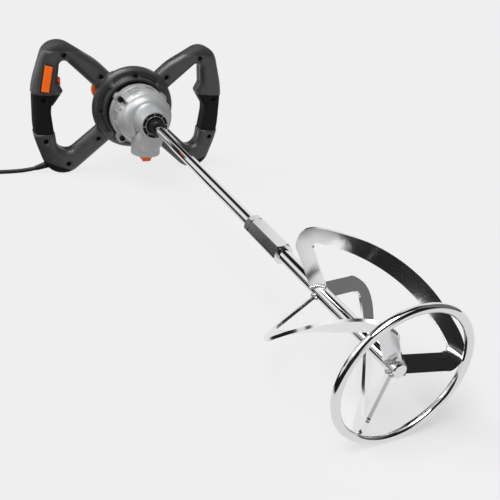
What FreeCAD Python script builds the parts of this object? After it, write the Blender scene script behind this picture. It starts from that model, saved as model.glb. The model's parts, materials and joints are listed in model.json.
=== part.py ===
"""Twin-handle mixing drill with a three-blade paddle, lying on its handle corners and its paddle ring.

The pieces are modelled in the tool's own axes: X across the handles, Y along the spindle with the paddle
towards -Y, Z from the lower handle corners to the upper ones. The spindle axis is x = 0, z = 0, and y = 0 is
the front face of the handles. At the end everything is laid down on the floor, z = 0.
"""
import FreeCAD, Part
import math
import os

V = FreeCAD.Vector
X_AXIS = V(1, 0, 0)
Y_AXIS = V(0, 1, 0)
Z_AXIS = V(0, 0, 1)

# Fits
fit = 0.05
gap = 0.3

# Handle frame
handle_depth = 46.0
arm_depth = 27.0
split_y = 18.0
handle_half_width = 167.5
edge_round = 12.0
wall = 3.0
lobe_reach = 124.5
lobe_round = 35.5

# Grips and bumpers
grip_top = 15.0
grip_bottom = -52.0
grip_recess = 1.5
grip_thickness = 3.5
bumper_line = 86.0
foot_height = 14.0
foot_tilt = 20.7

# Housing round the motor
housing_z = -6.7
collar_r = 71.5
collar_y = 4.0
rim_r = 51.0
rim_y = -17.6
mount_ring_depth = 15.0
shoulder_r = 60.0
shoulder_y = 38.0
barrel_r = 45.0
barrel_start = 56.0
barrel_end = 84.0
cap_length = 20.0
cap_taper = 4.0
cap_round = 6.0
cap_screw_depth = 6.5
vent_count = 16
vent_width = 3.0

# Screws
screw_r = 1.9
screw_head_r = 3.6
screw_head_h = 2.6
screw_bore_r = 4.2
boss_r = 5.6
screw_bore_depth = 9.0
screw_length = 16.0
collar_screw_length = 30.0

# Gear case
case_r = 50.0
plate_thickness = 11.2
flange_thickness = 13.0
ridge_r = 34.0
ridge_y = -86.9
nose_r = 25.0
nose_tip_r = 22.0
nose_end = -118.5
case_wall = 4.0
ear_r = 8.0
case_screw_r = 2.4
case_screw_head_r = 4.6
case_screw_head_h = 4.0
bridge_thickness = 7.0
bridge_r = 20.0
bridge_leg_r = 5.0
bridge_leg_x = 14.0
bridge_leg_z = 12.0
seal_r = 18.5
seal_length = 6.5
seal_recess = 2.5
selector_y = -74.6
selector_boss_r = 24.0
selector_boss_bottom = -61.0
chin_r = 22.0
pocket_depth = 2.5

# Gear train
layshaft_z = -31.5
pressure_angle = 20.0
tooth_height_share = 0.75
tooth_root_share = 1.0
backlash = 0.2
first_pinion_teeth = 13
first_gear_teeth = 49
low_pinion_teeth = 15
low_gear_teeth = 48
high_pinion_teeth = 23
high_gear_teeth = 40
first_gear_width = 8.2
low_gear_width = 9.0
high_gear_width = 6.8
sleeve_travel = 3.4
sleeve_width = 7.0
sleeve_r = 11.0
dog_length = 2.4
dog_inner_r = 5.4
dog_outer_r = 9.4
dog_count = 3
dog_gap = 0.4
layshaft_r = 5.0
layshaft_end_r = 4.0
bush_r = 6.0
bush_length = 5.5
groove_r = 8.3
eccentric_pin_r = 1.6

# Spindle, shafts and nuts
spindle_r = 9.0
spindle_tail_r = 6.0
spindle_head_r = 12.5
spindle_end = -135.8
shaft_r = 7.5
thread_r = 6.0
thread_in_spindle = 18.0
jam_nut_y = -475.8
jam_nut_length = 10.3
coupling_length = 64.1
coupling_flats = 22.0
paddle_shaft_end = -752.0

# Paddle
ring_y = -758.0
ring_r = 66.0
ring_rod_r = 4.0
blade_radius = 63.5
blade_width = 16.0
blade_thickness = 3.0
blade_angle = 113.0
blade_twist = 113.0
blade_top = -609.0
blade_bottom = -757.0
blade_hub_top = -624.0
blade_hub_bottom = -744.0
blade_corner_run = 19.0
blade_count = 3
corner_steps = 4
band_steps = 9

# Motor
stator_r = 40.0
stator_length = 44.0
stator_y = 18.0
air_gap = 0.7
armature_r = 22.0
armature_shaft_r = 5.0
bearing_width = 8.0
bearing_wall = 8.0
fan_r = 37.0
fan_y = -3.0
fan_blades = 10
commutator_r = 14.0
commutator_length = 12.0
winding_overhang = 8.0
slot_count = 12
slot_width = 3.0
coil_half_arc = 58.0
pole_half_arc = 38.0
fan_depth = 12.0
pinion_neck_r = 4.2
armature_tail_r = 4.0
brush_size = 7.0
brush_length = 16.0

# Controls
trigger_from_side = 23.1
trigger_z = 41.7
trigger_width = 12.3
trigger_length = 42.0
trigger_lean = 9.7
trigger_raise = 2.4
trigger_travel = 6.0
lock_z = 36.0
lock_y = 14.0
lock_height = 11.0
lock_depth = 9.0
lock_raise = 4.2
dial_x = -52.0
dial_z = 20.0
dial_r = 17.0
dial_width = 10.0
dial_ribs = 36
dial_pin_r = 2.2
switch_y = 13.2
switch_depth = 16.0
switch_width = 14.0
control_size = 11.0
control_depth = 5.0
control_shift = 5.0
knob_width = 20.0
knob_length = 24.0
knob_height = 12.0
knob_shaft_r = 6.0

# Cord
cord_r = 3.5
cord_exit_from_side = 22.0
cord_exit_rise = 14.0
cord_lean = 20.0
cord_tail_at = -34.0
grommet_wall = 2.2
grommet_inside = 12.0
grommet_outside = 3.0
clamp_at = -24.0
clamp_post_r = 3.4
clamp_length = 9.0
clamp_thickness = 3.0
coil_turns = 4
coil_pitch = 8.7
coil_inner_r = 28.6
tie_thickness = 0.8
tie_width = 16.0
plug_pin_r = 2.4
plug_pin_length = 19.0
plug_pin_spacing = 19.0
plug_thickness = 14.0
plug_width = 35.0
plug_length = 34.0
plug_corner = 4.0


# Helpers

def box(x0, x1, y0, y1, z0, z1):
    return Part.makeBox(x1 - x0, y1 - y0, z1 - z0, V(x0, y0, z0))


def rod(x, z, radius, y0, y1):
    """Cylinder along Y between y0 and y1."""
    return Part.makeCylinder(radius, abs(y1 - y0), V(x, min(y0, y1), z), Y_AXIS)


def tube(x, z, outer, inner, y0, y1):
    return rod(x, z, outer, y0, y1).cut(rod(x, z, inner, min(y0, y1) - 1, max(y0, y1) + 1))


def post(x, y, radius, z0, z1):
    """Cylinder along Z between z0 and z1."""
    return Part.makeCylinder(radius, abs(z1 - z0), V(x, y, min(z0, z1)), Z_AXIS)


def turned(profile, z):
    """Body of revolution about the line x = 0 at height z along Y, from (radius, y) points."""
    points = [V(r, y, 0) for r, y in profile]
    face = Part.Face(Part.makePolygon(points + points[:1]))
    solid = face.revolve(V(0, 0, 0), Y_AXIS, 360)
    solid.translate(V(0, 0, z))
    return solid


def joined(shapes):
    solid = shapes[0]
    for shape in shapes[1:]:
        solid = solid.fuse(shape)
    return solid.removeSplitter()


def without(solid, tools):
    for tool in tools:
        solid = solid.cut(tool)
    return solid


def mirrored(shape):
    return shape.mirror(V(0, 0, 0), V(1, 0, 0))


def spun(shape, degrees, z):
    """Copy turned about the line x = 0 at height z along Y."""
    copy = shape.copy()
    copy.rotate(V(0, 0, z), Y_AXIS, degrees)
    return copy


def outline(corners, inset):
    """Closed XZ wire of straight runs joined by tangent arcs, with every side moved inwards by inset."""
    points = [V(x, 0, z) for x, z, radius in corners]
    count = len(points)
    area = sum(points[k - 1].x * points[k].z - points[k].x * points[k - 1].z for k in range(count))
    way = 1 if area > 0 else -1
    runs = [(points[(k + 1) % count] - points[k]).normalize() for k in range(count)]
    inward = [V(-u.z, 0, u.x) * way for u in runs]
    starts = []
    middles = []
    ends = []
    for k in range(count):
        before, after = runs[k - 1], runs[k]
        shift = (inward[k - 1] + inward[k]) * (inset / (1 + inward[k - 1].dot(inward[k])))
        corner = points[k] + shift
        turn = math.acos(max(-1, min(1, before.dot(after))))
        convex = (before.x * after.z - before.z * after.x) * way > 0
        radius = corners[k][2] - inset if convex else corners[k][2] + inset
        reach = radius * math.tan(turn / 2)
        side = inward[k - 1] if convex else inward[k - 1] * -1
        start = corner - before * reach
        centre = start + side * radius
        starts.append(start)
        ends.append(corner + after * reach)
        middles.append(centre + (corner - centre).normalize() * radius)
    edges = []
    for k in range(count):
        edges.append(Part.Arc(starts[k], middles[k], ends[k]).toShape())
        edges.append(Part.LineSegment(ends[k], starts[(k + 1) % count]).toShape())
    return Part.Wire(edges)


def gear(z, teeth, module, y0, y1, tooth_at, thinner):
    """Spur gear along Y with a tooth centred at the angle tooth_at, measured from +X towards +Z."""
    pitch = module * teeth / 2
    base = pitch * math.cos(math.radians(pressure_angle))
    tip = pitch + tooth_height_share * module
    root = pitch - tooth_root_share * module
    half_at_pitch = math.pi / (2 * teeth) - thinner / (2 * pitch)
    slant = math.radians(pressure_angle)
    half_at_base = half_at_pitch + math.tan(slant) - slant

    def flank_angle(radius):
        if radius <= base:
            return half_at_base
        roll = math.acos(base / radius)
        return half_at_base - (math.tan(roll) - roll)

    def spot(radius, angle):
        return V(radius * math.cos(angle), y0, z + radius * math.sin(angle))

    low = max(root, base)
    levels = [low + (tip - low) * k / 3 for k in range(4)]
    edges = []
    step = 2 * math.pi / teeth
    for k in range(teeth):
        middle = math.radians(tooth_at) + k * step
        rise = [spot(r, middle - flank_angle(r)) for r in levels]
        fall = [spot(r, middle + flank_angle(r)) for r in reversed(levels)]
        foot_in = spot(root, middle - half_at_base)
        foot_out = spot(root, middle + half_at_base)
        next_foot = spot(root, middle + step - half_at_base)
        valley = spot(root, middle + step / 2)
        trail = [foot_in] + rise + fall + [foot_out]
        for a, b in zip(trail, trail[1:]):
            if (a - b).Length > 1e-6:
                edges.append(Part.LineSegment(a, b).toShape())
        edges.append(Part.Arc(foot_out, valley, next_foot).toShape())
    face = Part.Face(Part.Wire(edges))
    return face.extrude(V(0, y1 - y0, 0))


def gear_tip(teeth, module):
    return module * teeth / 2 + tooth_height_share * module


def sector_ring(z, outer, inner, y0, y1, start, arc):
    """Part of a ring about the line x = 0 at height z along Y, from the angle start over arc degrees."""
    points = [V(inner, y0, 0), V(outer, y0, 0), V(outer, y1, 0), V(inner, y1, 0)]
    face = Part.Face(Part.makePolygon(points + points[:1]))
    solid = face.revolve(V(0, 0, 0), V(0, -1, 0), arc)
    solid.rotate(V(0, 0, 0), V(0, -1, 0), start)
    solid.translate(V(0, 0, z))
    return solid


def largest(shape):
    return max(shape.Solids, key=lambda s: s.Volume)


def hex_bar(flats, y0, y1):
    corner = flats / 2 / math.cos(math.pi / 6)
    turns = [k * math.pi / 3 for k in range(7)]
    points = [V(corner * math.cos(turn), y0, corner * math.sin(turn)) for turn in turns]
    bar = Part.Face(Part.makePolygon(points)).extrude(V(0, y1 - y0, 0))
    chamfer = corner - flats / 2
    long = abs(y1 - y0)
    low = min(y0, y1)
    turned_ends = turned([(0, low), (flats / 2, low), (corner, low + chamfer),
                          (corner, low + long - chamfer), (flats / 2, low + long), (0, low + long)], 0)
    return bar.common(turned_ends)


def bearing(z, inner, outer, y0, y1):
    """Ball bearing as one ring, with a shield groove in each face."""
    groove = (outer - inner) * 0.12
    middle = (outer + inner) / 2
    depth = (y1 - y0) * 0.12
    ring = tube(0, z, outer, inner, y0, y1)
    for start, stop in ((y0 - 1, y0 + depth), (y1 - depth, y1 + 1)):
        ring = ring.cut(tube(0, z, middle + groove, middle - groove, start, stop))
    return ring


def biarc(p0, t0, p1, t1):
    """Two tangent arcs from p0 along t0 to p1 along t1."""
    chord = p1 - p0
    total = t0 + t1
    a = 2 * (1 - t0.dot(t1))
    b = 2 * chord.dot(total)
    c = -chord.dot(chord)
    reach = (-b + math.sqrt(b * b - 4 * a * c)) / (2 * a)
    join = (p0 + t0 * reach + p1 - t1 * reach) * 0.5
    edges = []
    for start, tangent, finish in ((p0, t0, join), (p1, t1 * -1, join)):
        span = finish - start
        normal = (span - tangent * span.dot(tangent)).normalize()
        radius = span.dot(span) / (2 * span.dot(normal))
        centre = start + normal * radius
        out = ((start - centre).normalize() + (finish - centre).normalize()).normalize()
        edges.append((start, centre + out * radius, finish))
    first, second = edges
    return [Part.Arc(*first).toShape(), Part.Arc(second[2], second[1], second[0]).toShape()]


def cord_path(points):
    """Straight runs joined by arcs as large as the runs allow."""
    edges = []
    last = points[0]
    for before, corner, after in zip(points, points[1:], points[2:]):
        come = (corner - before).normalize()
        leave = (after - corner).normalize()
        turn = math.acos(max(-1, min(1, come.dot(leave))))
        reach = 0.45 * min((corner - before).Length, (after - corner).Length)
        radius = reach / math.tan(turn / 2)
        start = corner - come * reach
        finish = corner + leave * reach
        bisector = (leave - come).normalize()
        centre = corner + bisector * math.hypot(radius, reach)
        edges.append(Part.LineSegment(last, start).toShape())
        edges.append(Part.Arc(start, centre - bisector * radius, finish).toShape())
        last = finish
    edges.append(Part.LineSegment(last, points[-1]).toShape())
    return edges


def cord_tube(edges):
    """Round cord swept along the edges."""
    path = Part.Wire(edges)
    start = edges[0].valueAt(edges[0].FirstParameter)
    along = edges[0].tangentAt(edges[0].FirstParameter)
    section = Part.Wire(Part.makeCircle(cord_r, start, along))
    return path.makePipeShell([section], True, False)


nodes = {}

# Places that follow from the sizes
first_module = 2 * (housing_z - layshaft_z) / (first_pinion_teeth + first_gear_teeth)
low_module = 2 * -layshaft_z / (low_pinion_teeth + low_gear_teeth)
high_module = 2 * -layshaft_z / (high_pinion_teeth + high_gear_teeth)
first_gear_front = rim_y - plate_thickness - 2.6 - first_gear_width
bridge_back = first_gear_front - 5.4
bridge_front = bridge_back - bridge_thickness
rear_bush_r = spindle_tail_r + 2.5
sleeve_centre = selector_y + sleeve_travel / 2
low_dog_root = sleeve_centre + sleeve_width / 2 + dog_length + dog_gap
low_gear_front = low_dog_root + 2.3
high_dog_root = sleeve_centre - sleeve_width / 2 - sleeve_travel - 2 * dog_length - dog_gap
high_gear_front = high_dog_root - 0.6 - high_gear_width
dog_arc = 180 / dog_count - 8
bush_back = high_gear_front - 1.6
bush_front = bush_back - bush_length
spindle_bearing_r = spindle_r + bearing_wall
spindle_bearing_back = high_gear_front - 2.6
seal_back = nose_end + seal_recess + seal_length
spindle_bearing_front = seal_back + 2.5
front_bearing_r = armature_shaft_r + bearing_wall
lay_bearing_r = layshaft_end_r + bearing_wall / 2
rear_bearing_r = armature_tail_r + bearing_wall - 1
rear_bearing_y = barrel_end + 4
knob_shaft_top = layshaft_z - max(sleeve_r, gear_tip(high_pinion_teeth, high_module)) - 1.8
grommet_r = cord_r + grommet_wall
dial_y = split_y - dial_width / 2


def from_side(inset):
    """Distance from the middle of the tool to a place that far in from the handle's outer side."""
    return handle_half_width - inset


trigger_x = -from_side(trigger_from_side)

# Handle frame, shared by both shells, hollowed at the back towards the middle
arm_corners = [(38, 50, 8), (62, 71.5, 100), (from_side(27), 114.8, 31), (from_side(0), 24.7, 150),
               (from_side(0), -54.8, 150), (from_side(32), -lobe_reach - 26.2, lobe_round), (38, -65, 8)]
lock_wall = from_side(41.5)
window_corners = [(50, 13.5, 5), (from_side(46), 77.6, 8), (lock_wall, 36, 60), (from_side(31), -14, 50),
                  (from_side(41.5), 24.8 - lobe_reach, 17), (50, -31, 5)]
frame_corners = arm_corners + [(-x, z, r) for x, z, r in reversed(arm_corners)]
left_window_corners = [(-x, z, r) for x, z, r in window_corners]
back_rise = handle_depth - arm_depth
back_r = (handle_half_width ** 2 + back_rise ** 2) / (2 * back_rise)


def handle_body(inset):
    """Filleted frame of both handles, with every face moved inwards by inset."""
    face = Part.Face(outline(frame_corners, inset))
    for corners in (window_corners, left_window_corners):
        face = face.cut(Part.Face(outline(corners, -inset)))
    body = face.extrude(V(0, 2 * handle_depth, 0))
    body.translate(V(0, inset, 0))
    hollow = Part.makeCylinder(back_r + inset, 4 * far, V(0, arm_depth + back_r, -2 * far), Z_AXIS)
    body = body.cut(hollow).Solids[0]
    rims = []
    for face in body.Faces:
        u0, u1, v0, v1 = face.ParameterRange
        if abs(face.normalAt((u0 + u1) / 2, (v0 + v1) / 2).y) > 0.5:
            rims += face.Edges
    return body.makeFillet(max(edge_round - inset, 1.5), rims)


far = handle_half_width + 20
grip_seat = grip_recess + grip_thickness
handle_outer = handle_body(0)
handle_grip = handle_body(grip_recess)
handle_core = handle_body(grip_seat)
handle_inner = handle_body(wall)
handle_core_inner = handle_body(grip_seat + wall)

grip_inner_x = from_side(62.5)


def grip_slab(margin):
    slab = box(grip_inner_x, far, -5, handle_depth + 5, grip_bottom - margin, grip_top + margin)
    return slab.fuse(mirrored(slab))


grip_bands = grip_slab(0)
shell_body = handle_outer.cut(grip_bands).fuse(handle_core.common(grip_bands))
cavity_slabs = grip_slab(wall)

# Rubber bumpers on the upper corners and feet on the lower ones
lobe_centre_x = from_side(48)
lobe_centre_z = -lobe_reach + lobe_round


def bumper_slab(margin):
    """Space above the bumper line on both upper corners."""
    slab = box(collar_r, far, -5, handle_depth + 5, bumper_line - margin, bumper_line + far)
    return slab.fuse(mirrored(slab))


def foot_slab(margin):
    """Space below the tilted foot line on both lower corners."""
    line = lobe_centre_z - lobe_round + foot_height + margin
    slab = box(lobe_centre_x - 2 * lobe_round, lobe_centre_x + 2 * lobe_round, -5, handle_depth + 5,
               line - 2 * lobe_round, line)
    slab.rotate(V(lobe_centre_x, 0, lobe_centre_z), Y_AXIS, -foot_tilt)
    return slab.fuse(mirrored(slab))


upper_bumpers = handle_outer.common(bumper_slab(0))
lower_feet = handle_outer.common(foot_slab(0))
shell_body = without(shell_body, [bumper_slab(0), foot_slab(0)])
handle_cavity = handle_inner.cut(cavity_slabs).fuse(handle_core_inner.common(cavity_slabs))
handle_cavity = without(handle_cavity, [bumper_slab(wall), foot_slab(wall)])

# Collar and motor barrel
collar_step = 3.0
ring_back = rim_y + mount_ring_depth
mount_bore_r = rim_r - 9
housing_outer = turned([(0, rim_y), (rim_r, rim_y), (rim_r + collar_step, rim_y + collar_step + 1),
                        (collar_r - collar_step, collar_y - 2 * collar_step), (collar_r, collar_y),
                        (shoulder_r, shoulder_y), (barrel_r, barrel_start), (barrel_r, barrel_end),
                        (0, barrel_end)], housing_z)
housing_cavity = turned([(0, rim_y - 1), (mount_bore_r, rim_y - 1), (mount_bore_r, ring_back),
                         (rim_r + collar_step, ring_back), (collar_r - wall, collar_y + wall),
                         (shoulder_r - wall, shoulder_y - wall), (barrel_r - wall, barrel_start - wall),
                         (barrel_r - wall, barrel_end + 1), (0, barrel_end + 1)], housing_z)

# Wedge under the thumb on each inner side
hook_bevel = 6.0
hook_points = [(from_side(37), 40), (from_side(42.5), 35), (from_side(49), 21.5), (from_side(48.5), 18.5),
               (from_side(33), -4), (from_side(30), 12)]
hook_levels = [(0.25 * edge_round, hook_bevel), (0.25 * edge_round + hook_bevel, 0), (arm_depth, 0),
               (arm_depth + hook_bevel, hook_bevel)]
hook = Part.makeLoft([Part.makePolygon([V(x + pull, y, z) for x, z in hook_points + hook_points[:1]])
                      for y, pull in hook_levels], True, True)
hooks = hook.fuse(mirrored(hook))

# Screws of the handle halves
arm_screws = [(from_side(50.3), 80.2), (57.1, 46.5), (from_side(16.5), 6.8), (from_side(18.7), -63.3),
              (60.5, -60.6), (from_side(55.9), 19.9 - lobe_reach)]
collar_screw_reach = collar_r - 14.4
screw_spots = arm_screws + [(-x, z) for x, z in arm_screws]
collar_spots = [(0, housing_z + collar_screw_reach), (0, housing_z - collar_screw_reach)]
pocket_y = ring_back - wall

bosses = [rod(x, z, boss_r, wall / 2, handle_depth - wall / 2) for x, z in screw_spots]
bosses += [rod(x, z, boss_r, pocket_y, handle_depth) for x, z in collar_spots]
shell_body = shell_body.fuse(housing_outer)
boss_set = joined(bosses).common(shell_body)
shell_body = shell_body.cut(handle_cavity.fuse(housing_cavity)).fuse(boss_set)
shell_body = shell_body.fuse(hooks.cut(handle_cavity).cut(grip_bands))

# Ribs that hold the stator inside the barrel
rib_width = 6.0
ribs = []
for degrees in (45, 135, 225, 315):
    rib = box(stator_r + fit, collar_r - wall / 2, stator_y, stator_y + stator_length + winding_overhang + 2,
              -rib_width / 2, rib_width / 2)
    rib.translate(V(0, 0, housing_z))
    ribs.append(spun(rib, degrees, housing_z))
rib_set = joined(ribs).common(housing_outer)
shell_body = shell_body.fuse(rib_set)

handle_screws = []
for x, z in screw_spots + collar_spots:
    in_collar = (x, z) in collar_spots
    length = collar_screw_length if in_collar else screw_length
    seat_y = pocket_y + screw_head_h if in_collar else screw_bore_depth
    if not in_collar and grip_bottom < z < grip_top:
        seat_y += grip_recess
    shell_body = shell_body.cut(rod(x, z, screw_bore_r, rim_y - collar_r, seat_y))
    shell_body = shell_body.cut(rod(x, z, screw_r + fit, seat_y - 1, seat_y + length + 1))
    head = rod(x, z, screw_head_r, seat_y - screw_head_h, seat_y)
    shank = rod(x, z, screw_r, seat_y - screw_head_h / 2, seat_y + length)
    drive = rod(x, z, screw_r * 0.8, seat_y - screw_head_h - 1, seat_y - screw_head_h / 2)
    handle_screws.append(head.fuse(shank).cut(drive))
nodes["handle_screws"] = Part.makeCompound(handle_screws)

# Crescent pockets in the collar's cone
pocket_inner_r = rim_r + 1.7 * collar_step
pocket_ring = turned([(pocket_inner_r, rim_y - 5), (collar_r, rim_y - 5), (collar_r, pocket_y),
                      (pocket_inner_r, pocket_y)], housing_z)
pocket_half_width = 38.0
for degrees in (0, 90, 180, 270):
    sector = box(0, collar_r, rim_y - 10, collar_y, -pocket_half_width, pocket_half_width)
    sector.translate(V(0, 0, housing_z))
    shell_body = shell_body.cut(spun(sector, degrees, housing_z).common(pocket_ring))

# Openings for the trigger, the lock button and the speed dial


def leaning_block(width, length, y0, y1):
    """Block on the trigger's centre, leaning with the left handle."""
    block = box(-width / 2, width / 2, y0, y1, -length / 2, length / 2)
    block.rotate(V(0, 0, 0), Y_AXIS, trigger_lean)
    block.translate(V(trigger_x, 0, trigger_z))
    return block


def lock_block(x0, x1, margin):
    """Block on the lock button's centre, from x0 to x1 measured inwards from the handle's inner wall."""
    half_depth = lock_depth / 2 + margin
    half_height = lock_height / 2 + margin
    return box(x0 - lock_wall, x1 - lock_wall, lock_y - half_depth, lock_y + half_depth,
               lock_z - half_height, lock_z + half_height)


trigger_hole = leaning_block(trigger_width + 2 * gap, trigger_length + 2 * gap, -edge_round, wall + 2)
dial_room = rod(dial_x, dial_z, dial_r + 0.8, dial_y - 0.5, dial_y + dial_width + 0.5)
flange_y = wall + 1.5
trigger_room = leaning_block(trigger_width + 4 + 2 * gap, trigger_length + 4 + 2 * gap, wall + 1, switch_y)
control_y = dial_y + dial_width + 1
control_x = dial_x + control_shift
control_z = dial_z - control_shift
shell_body = without(shell_body, [trigger_hole, trigger_room, lock_block(-wall - 2, 10, gap), dial_room])

# Cord bore through the lower left corner
cord_way = V(-math.cos(math.radians(cord_lean)), 0, -math.sin(math.radians(cord_lean)))
side_way = V(-cord_way.z, 0, cord_way.x)
cord_exit = V(-from_side(cord_exit_from_side), split_y, cord_exit_rise - lobe_reach)


def along_cord(radius, start, stop):
    """Cylinder on the cord's line through the lower left corner."""
    return Part.makeCylinder(radius, stop - start, cord_exit + cord_way * start, cord_way)


cord_bore = along_cord(grommet_r + fit, -grommet_inside, 60)
cord_bore = cord_bore.fuse(along_cord(cord_r + 2 * gap, cord_tail_at - 2, 0))
shell_body = shell_body.cut(cord_bore)
foot_bores = [rod(x, z, screw_bore_r, -5, screw_bore_depth) for x, z in screw_spots]
lower_feet = without(lower_feet, [cord_bore] + foot_bores)

# Halves of the shell, with the rear half's posts for the clamp, the switch and the speed control
front_side = box(-far, far, rim_y - 20, split_y, -far, far)
rear_side = box(-far, far, split_y, barrel_end + handle_depth, -far, far)
clamp_centre = cord_exit + cord_way * clamp_at
clamp_spot = clamp_centre - side_way * (cord_r + clamp_post_r + gap)
clamp_top = split_y - cord_r - fit
clamp_post = rod(clamp_spot.x, clamp_spot.z, clamp_post_r, clamp_top, handle_depth - wall / 2)
clamp_seat = clamp_top - clamp_thickness


def clamp_bar(margin):
    """Bar across the cord, from the far side of the post to just past the cord."""
    half_length = clamp_length / 2 + margin
    bar = box(-cord_r - 2 * clamp_post_r - gap - margin, cord_r + 1 + margin, clamp_seat - margin,
              clamp_top + margin, -half_length, half_length)
    bar.rotate(V(0, 0, 0), Y_AXIS, 90 - cord_lean)
    bar.translate(V(clamp_centre.x, 0, clamp_centre.z))
    return bar


clamp_room = joined([
    clamp_bar(gap), rod(clamp_spot.x, clamp_spot.z, clamp_post_r + gap, clamp_top - 1, handle_depth),
    rod(clamp_spot.x, clamp_spot.z, screw_head_r + gap, clamp_seat - screw_head_h - gap, clamp_seat)])
saddle = box(-cord_r, cord_r, split_y + cord_r + fit, handle_depth - wall / 2,
             -clamp_length / 2, clamp_length / 2)
saddle.rotate(V(0, split_y, 0), Y_AXIS, 90 - cord_lean)
saddle.translate(V(clamp_centre.x, 0, clamp_centre.z))
switch_back = switch_y + switch_depth
switch_post = leaning_block(trigger_width, trigger_length / 2, switch_back, handle_depth - wall / 2)
dial_post = rod(control_x, control_z, control_size / 4, control_y + control_depth, barrel_start)
clamp_screw_end = clamp_top + screw_length
front_shell = largest(shell_body.common(front_side).cut(clamp_room))
rear_shell = largest(shell_body.common(rear_side))
handle_posts = [shape.common(handle_outer) for shape in (clamp_post, saddle, switch_post)]
rear_shell = joined([rear_shell, dial_post.common(housing_outer)] + handle_posts)
clamp_hole = rod(clamp_spot.x, clamp_spot.z, screw_r + fit, clamp_top - 1, clamp_screw_end + 1)
rear_shell = rear_shell.cut(clamp_hole)

grips = handle_grip.common(grip_bands).fuse(hooks.common(grip_bands)).cut(handle_core)
grip_bores = [rod(x, z, screw_bore_r, -5, screw_bore_depth + grip_recess) for x, z in screw_spots]
grips = without(grips, grip_bores)
left_side = box(-far, 0, -5, handle_depth + 5, -far, far)
nodes["left_grip"] = grips.common(left_side)
nodes["right_grip"] = grips.cut(left_side)
nodes["upper_bumpers"] = upper_bumpers
nodes["lower_feet"] = lower_feet

# Motor cap with its vents, bearing hub and screws
cap_end = barrel_end + cap_length
cap_side_end = cap_end - cap_round
cap_side_r = barrel_r - cap_taper
cap_face_r = cap_side_r - cap_round
cap_screw_reach = barrel_r - wall - boss_r + 1
cap_cup = turned([(0, barrel_end), (barrel_r, barrel_end), (cap_side_r, cap_side_end),
                  (cap_face_r, cap_end), (0, cap_end)], housing_z)
cap_room = turned([(0, barrel_end - 1), (barrel_r - wall, barrel_end - 1), (barrel_r - wall, barrel_end),
                   (cap_side_r - wall, cap_side_end - 1), (cap_face_r - 1, cap_end - wall),
                   (0, cap_end - wall)], housing_z)
motor_cap = cap_cup.cut(cap_room)
cap_spigot = tube(0, housing_z, barrel_r - wall - fit, barrel_r - 2 * wall, barrel_end - 5, barrel_end + 2)
cap_hub = rod(0, housing_z, rear_bearing_r + wall, rear_bearing_y - 1, cap_end - wall / 2)
cap_posts = []
shell_posts = []
spigot_gaps = []
cap_holes = []
cap_heads = []
cap_screws = []
for k in range(4):
    angle = math.radians(45 + 90 * k)
    x = cap_screw_reach * math.cos(angle)
    z = housing_z + cap_screw_reach * math.sin(angle)
    seat_y = cap_side_end - 2
    tip_y = barrel_end - cap_screw_depth
    cap_posts.append(rod(x, z, boss_r, barrel_end, cap_end - wall))
    shell_posts.append(rod(x, z, boss_r, tip_y - 1.5, barrel_end))
    spigot_gaps.append(rod(x, z, boss_r + gap, 0, cap_end))
    cap_holes.append(rod(x, z, screw_r + fit, tip_y - 1, cap_end))
    cap_heads.append(rod(x, z, screw_bore_r, seat_y, cap_end + 5))
    head = rod(x, z, screw_head_r, seat_y, seat_y + screw_head_h)
    drive = rod(x, z, screw_r * 0.8, seat_y + screw_head_h / 2, seat_y + screw_head_h + 1)
    cap_screws.append(rod(x, z, screw_r, tip_y, seat_y + 1).fuse(head).cut(drive))
shell_post_set = joined(shell_posts).common(housing_outer)
rear_shell = joined([rear_shell, shell_post_set])
rear_shell = without(rear_shell, cap_holes)
cap_spigot = without(cap_spigot, spigot_gaps)
motor_cap = joined([motor_cap, cap_hub, cap_spigot] + [shape.common(cap_cup) for shape in cap_posts])
motor_cap = without(motor_cap, cap_holes + cap_heads)
bearing_stop = rear_bearing_y + bearing_width
motor_cap = motor_cap.cut(rod(0, housing_z, rear_bearing_r + fit, rear_bearing_y - 2, bearing_stop))
motor_cap = motor_cap.cut(rod(0, housing_z, armature_tail_r + 1, rear_bearing_y, bearing_stop + 2))
cap_post_set = joined(cap_posts)
half_vent = vent_width / 2
end_vent = box(rear_bearing_r + 2 * wall, cap_face_r - 2, cap_end - 2 * wall, cap_end + 1,
               -half_vent, half_vent)
side_vent = box(cap_side_r - 2 * wall, barrel_r + 5, barrel_end + wall, cap_side_end - 2,
                -half_vent, half_vent)
for k in range(vent_count):
    for vent in (end_vent, side_vent):
        slot = vent.translated(V(0, 0, housing_z))
        slot = spun(slot, 360 / vent_count * (k + 0.5), housing_z)
        motor_cap = motor_cap.cut(slot.cut(cap_post_set))
nodes["motor_cap"] = motor_cap
nodes["cap_screws"] = Part.makeCompound(cap_screws)

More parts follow.
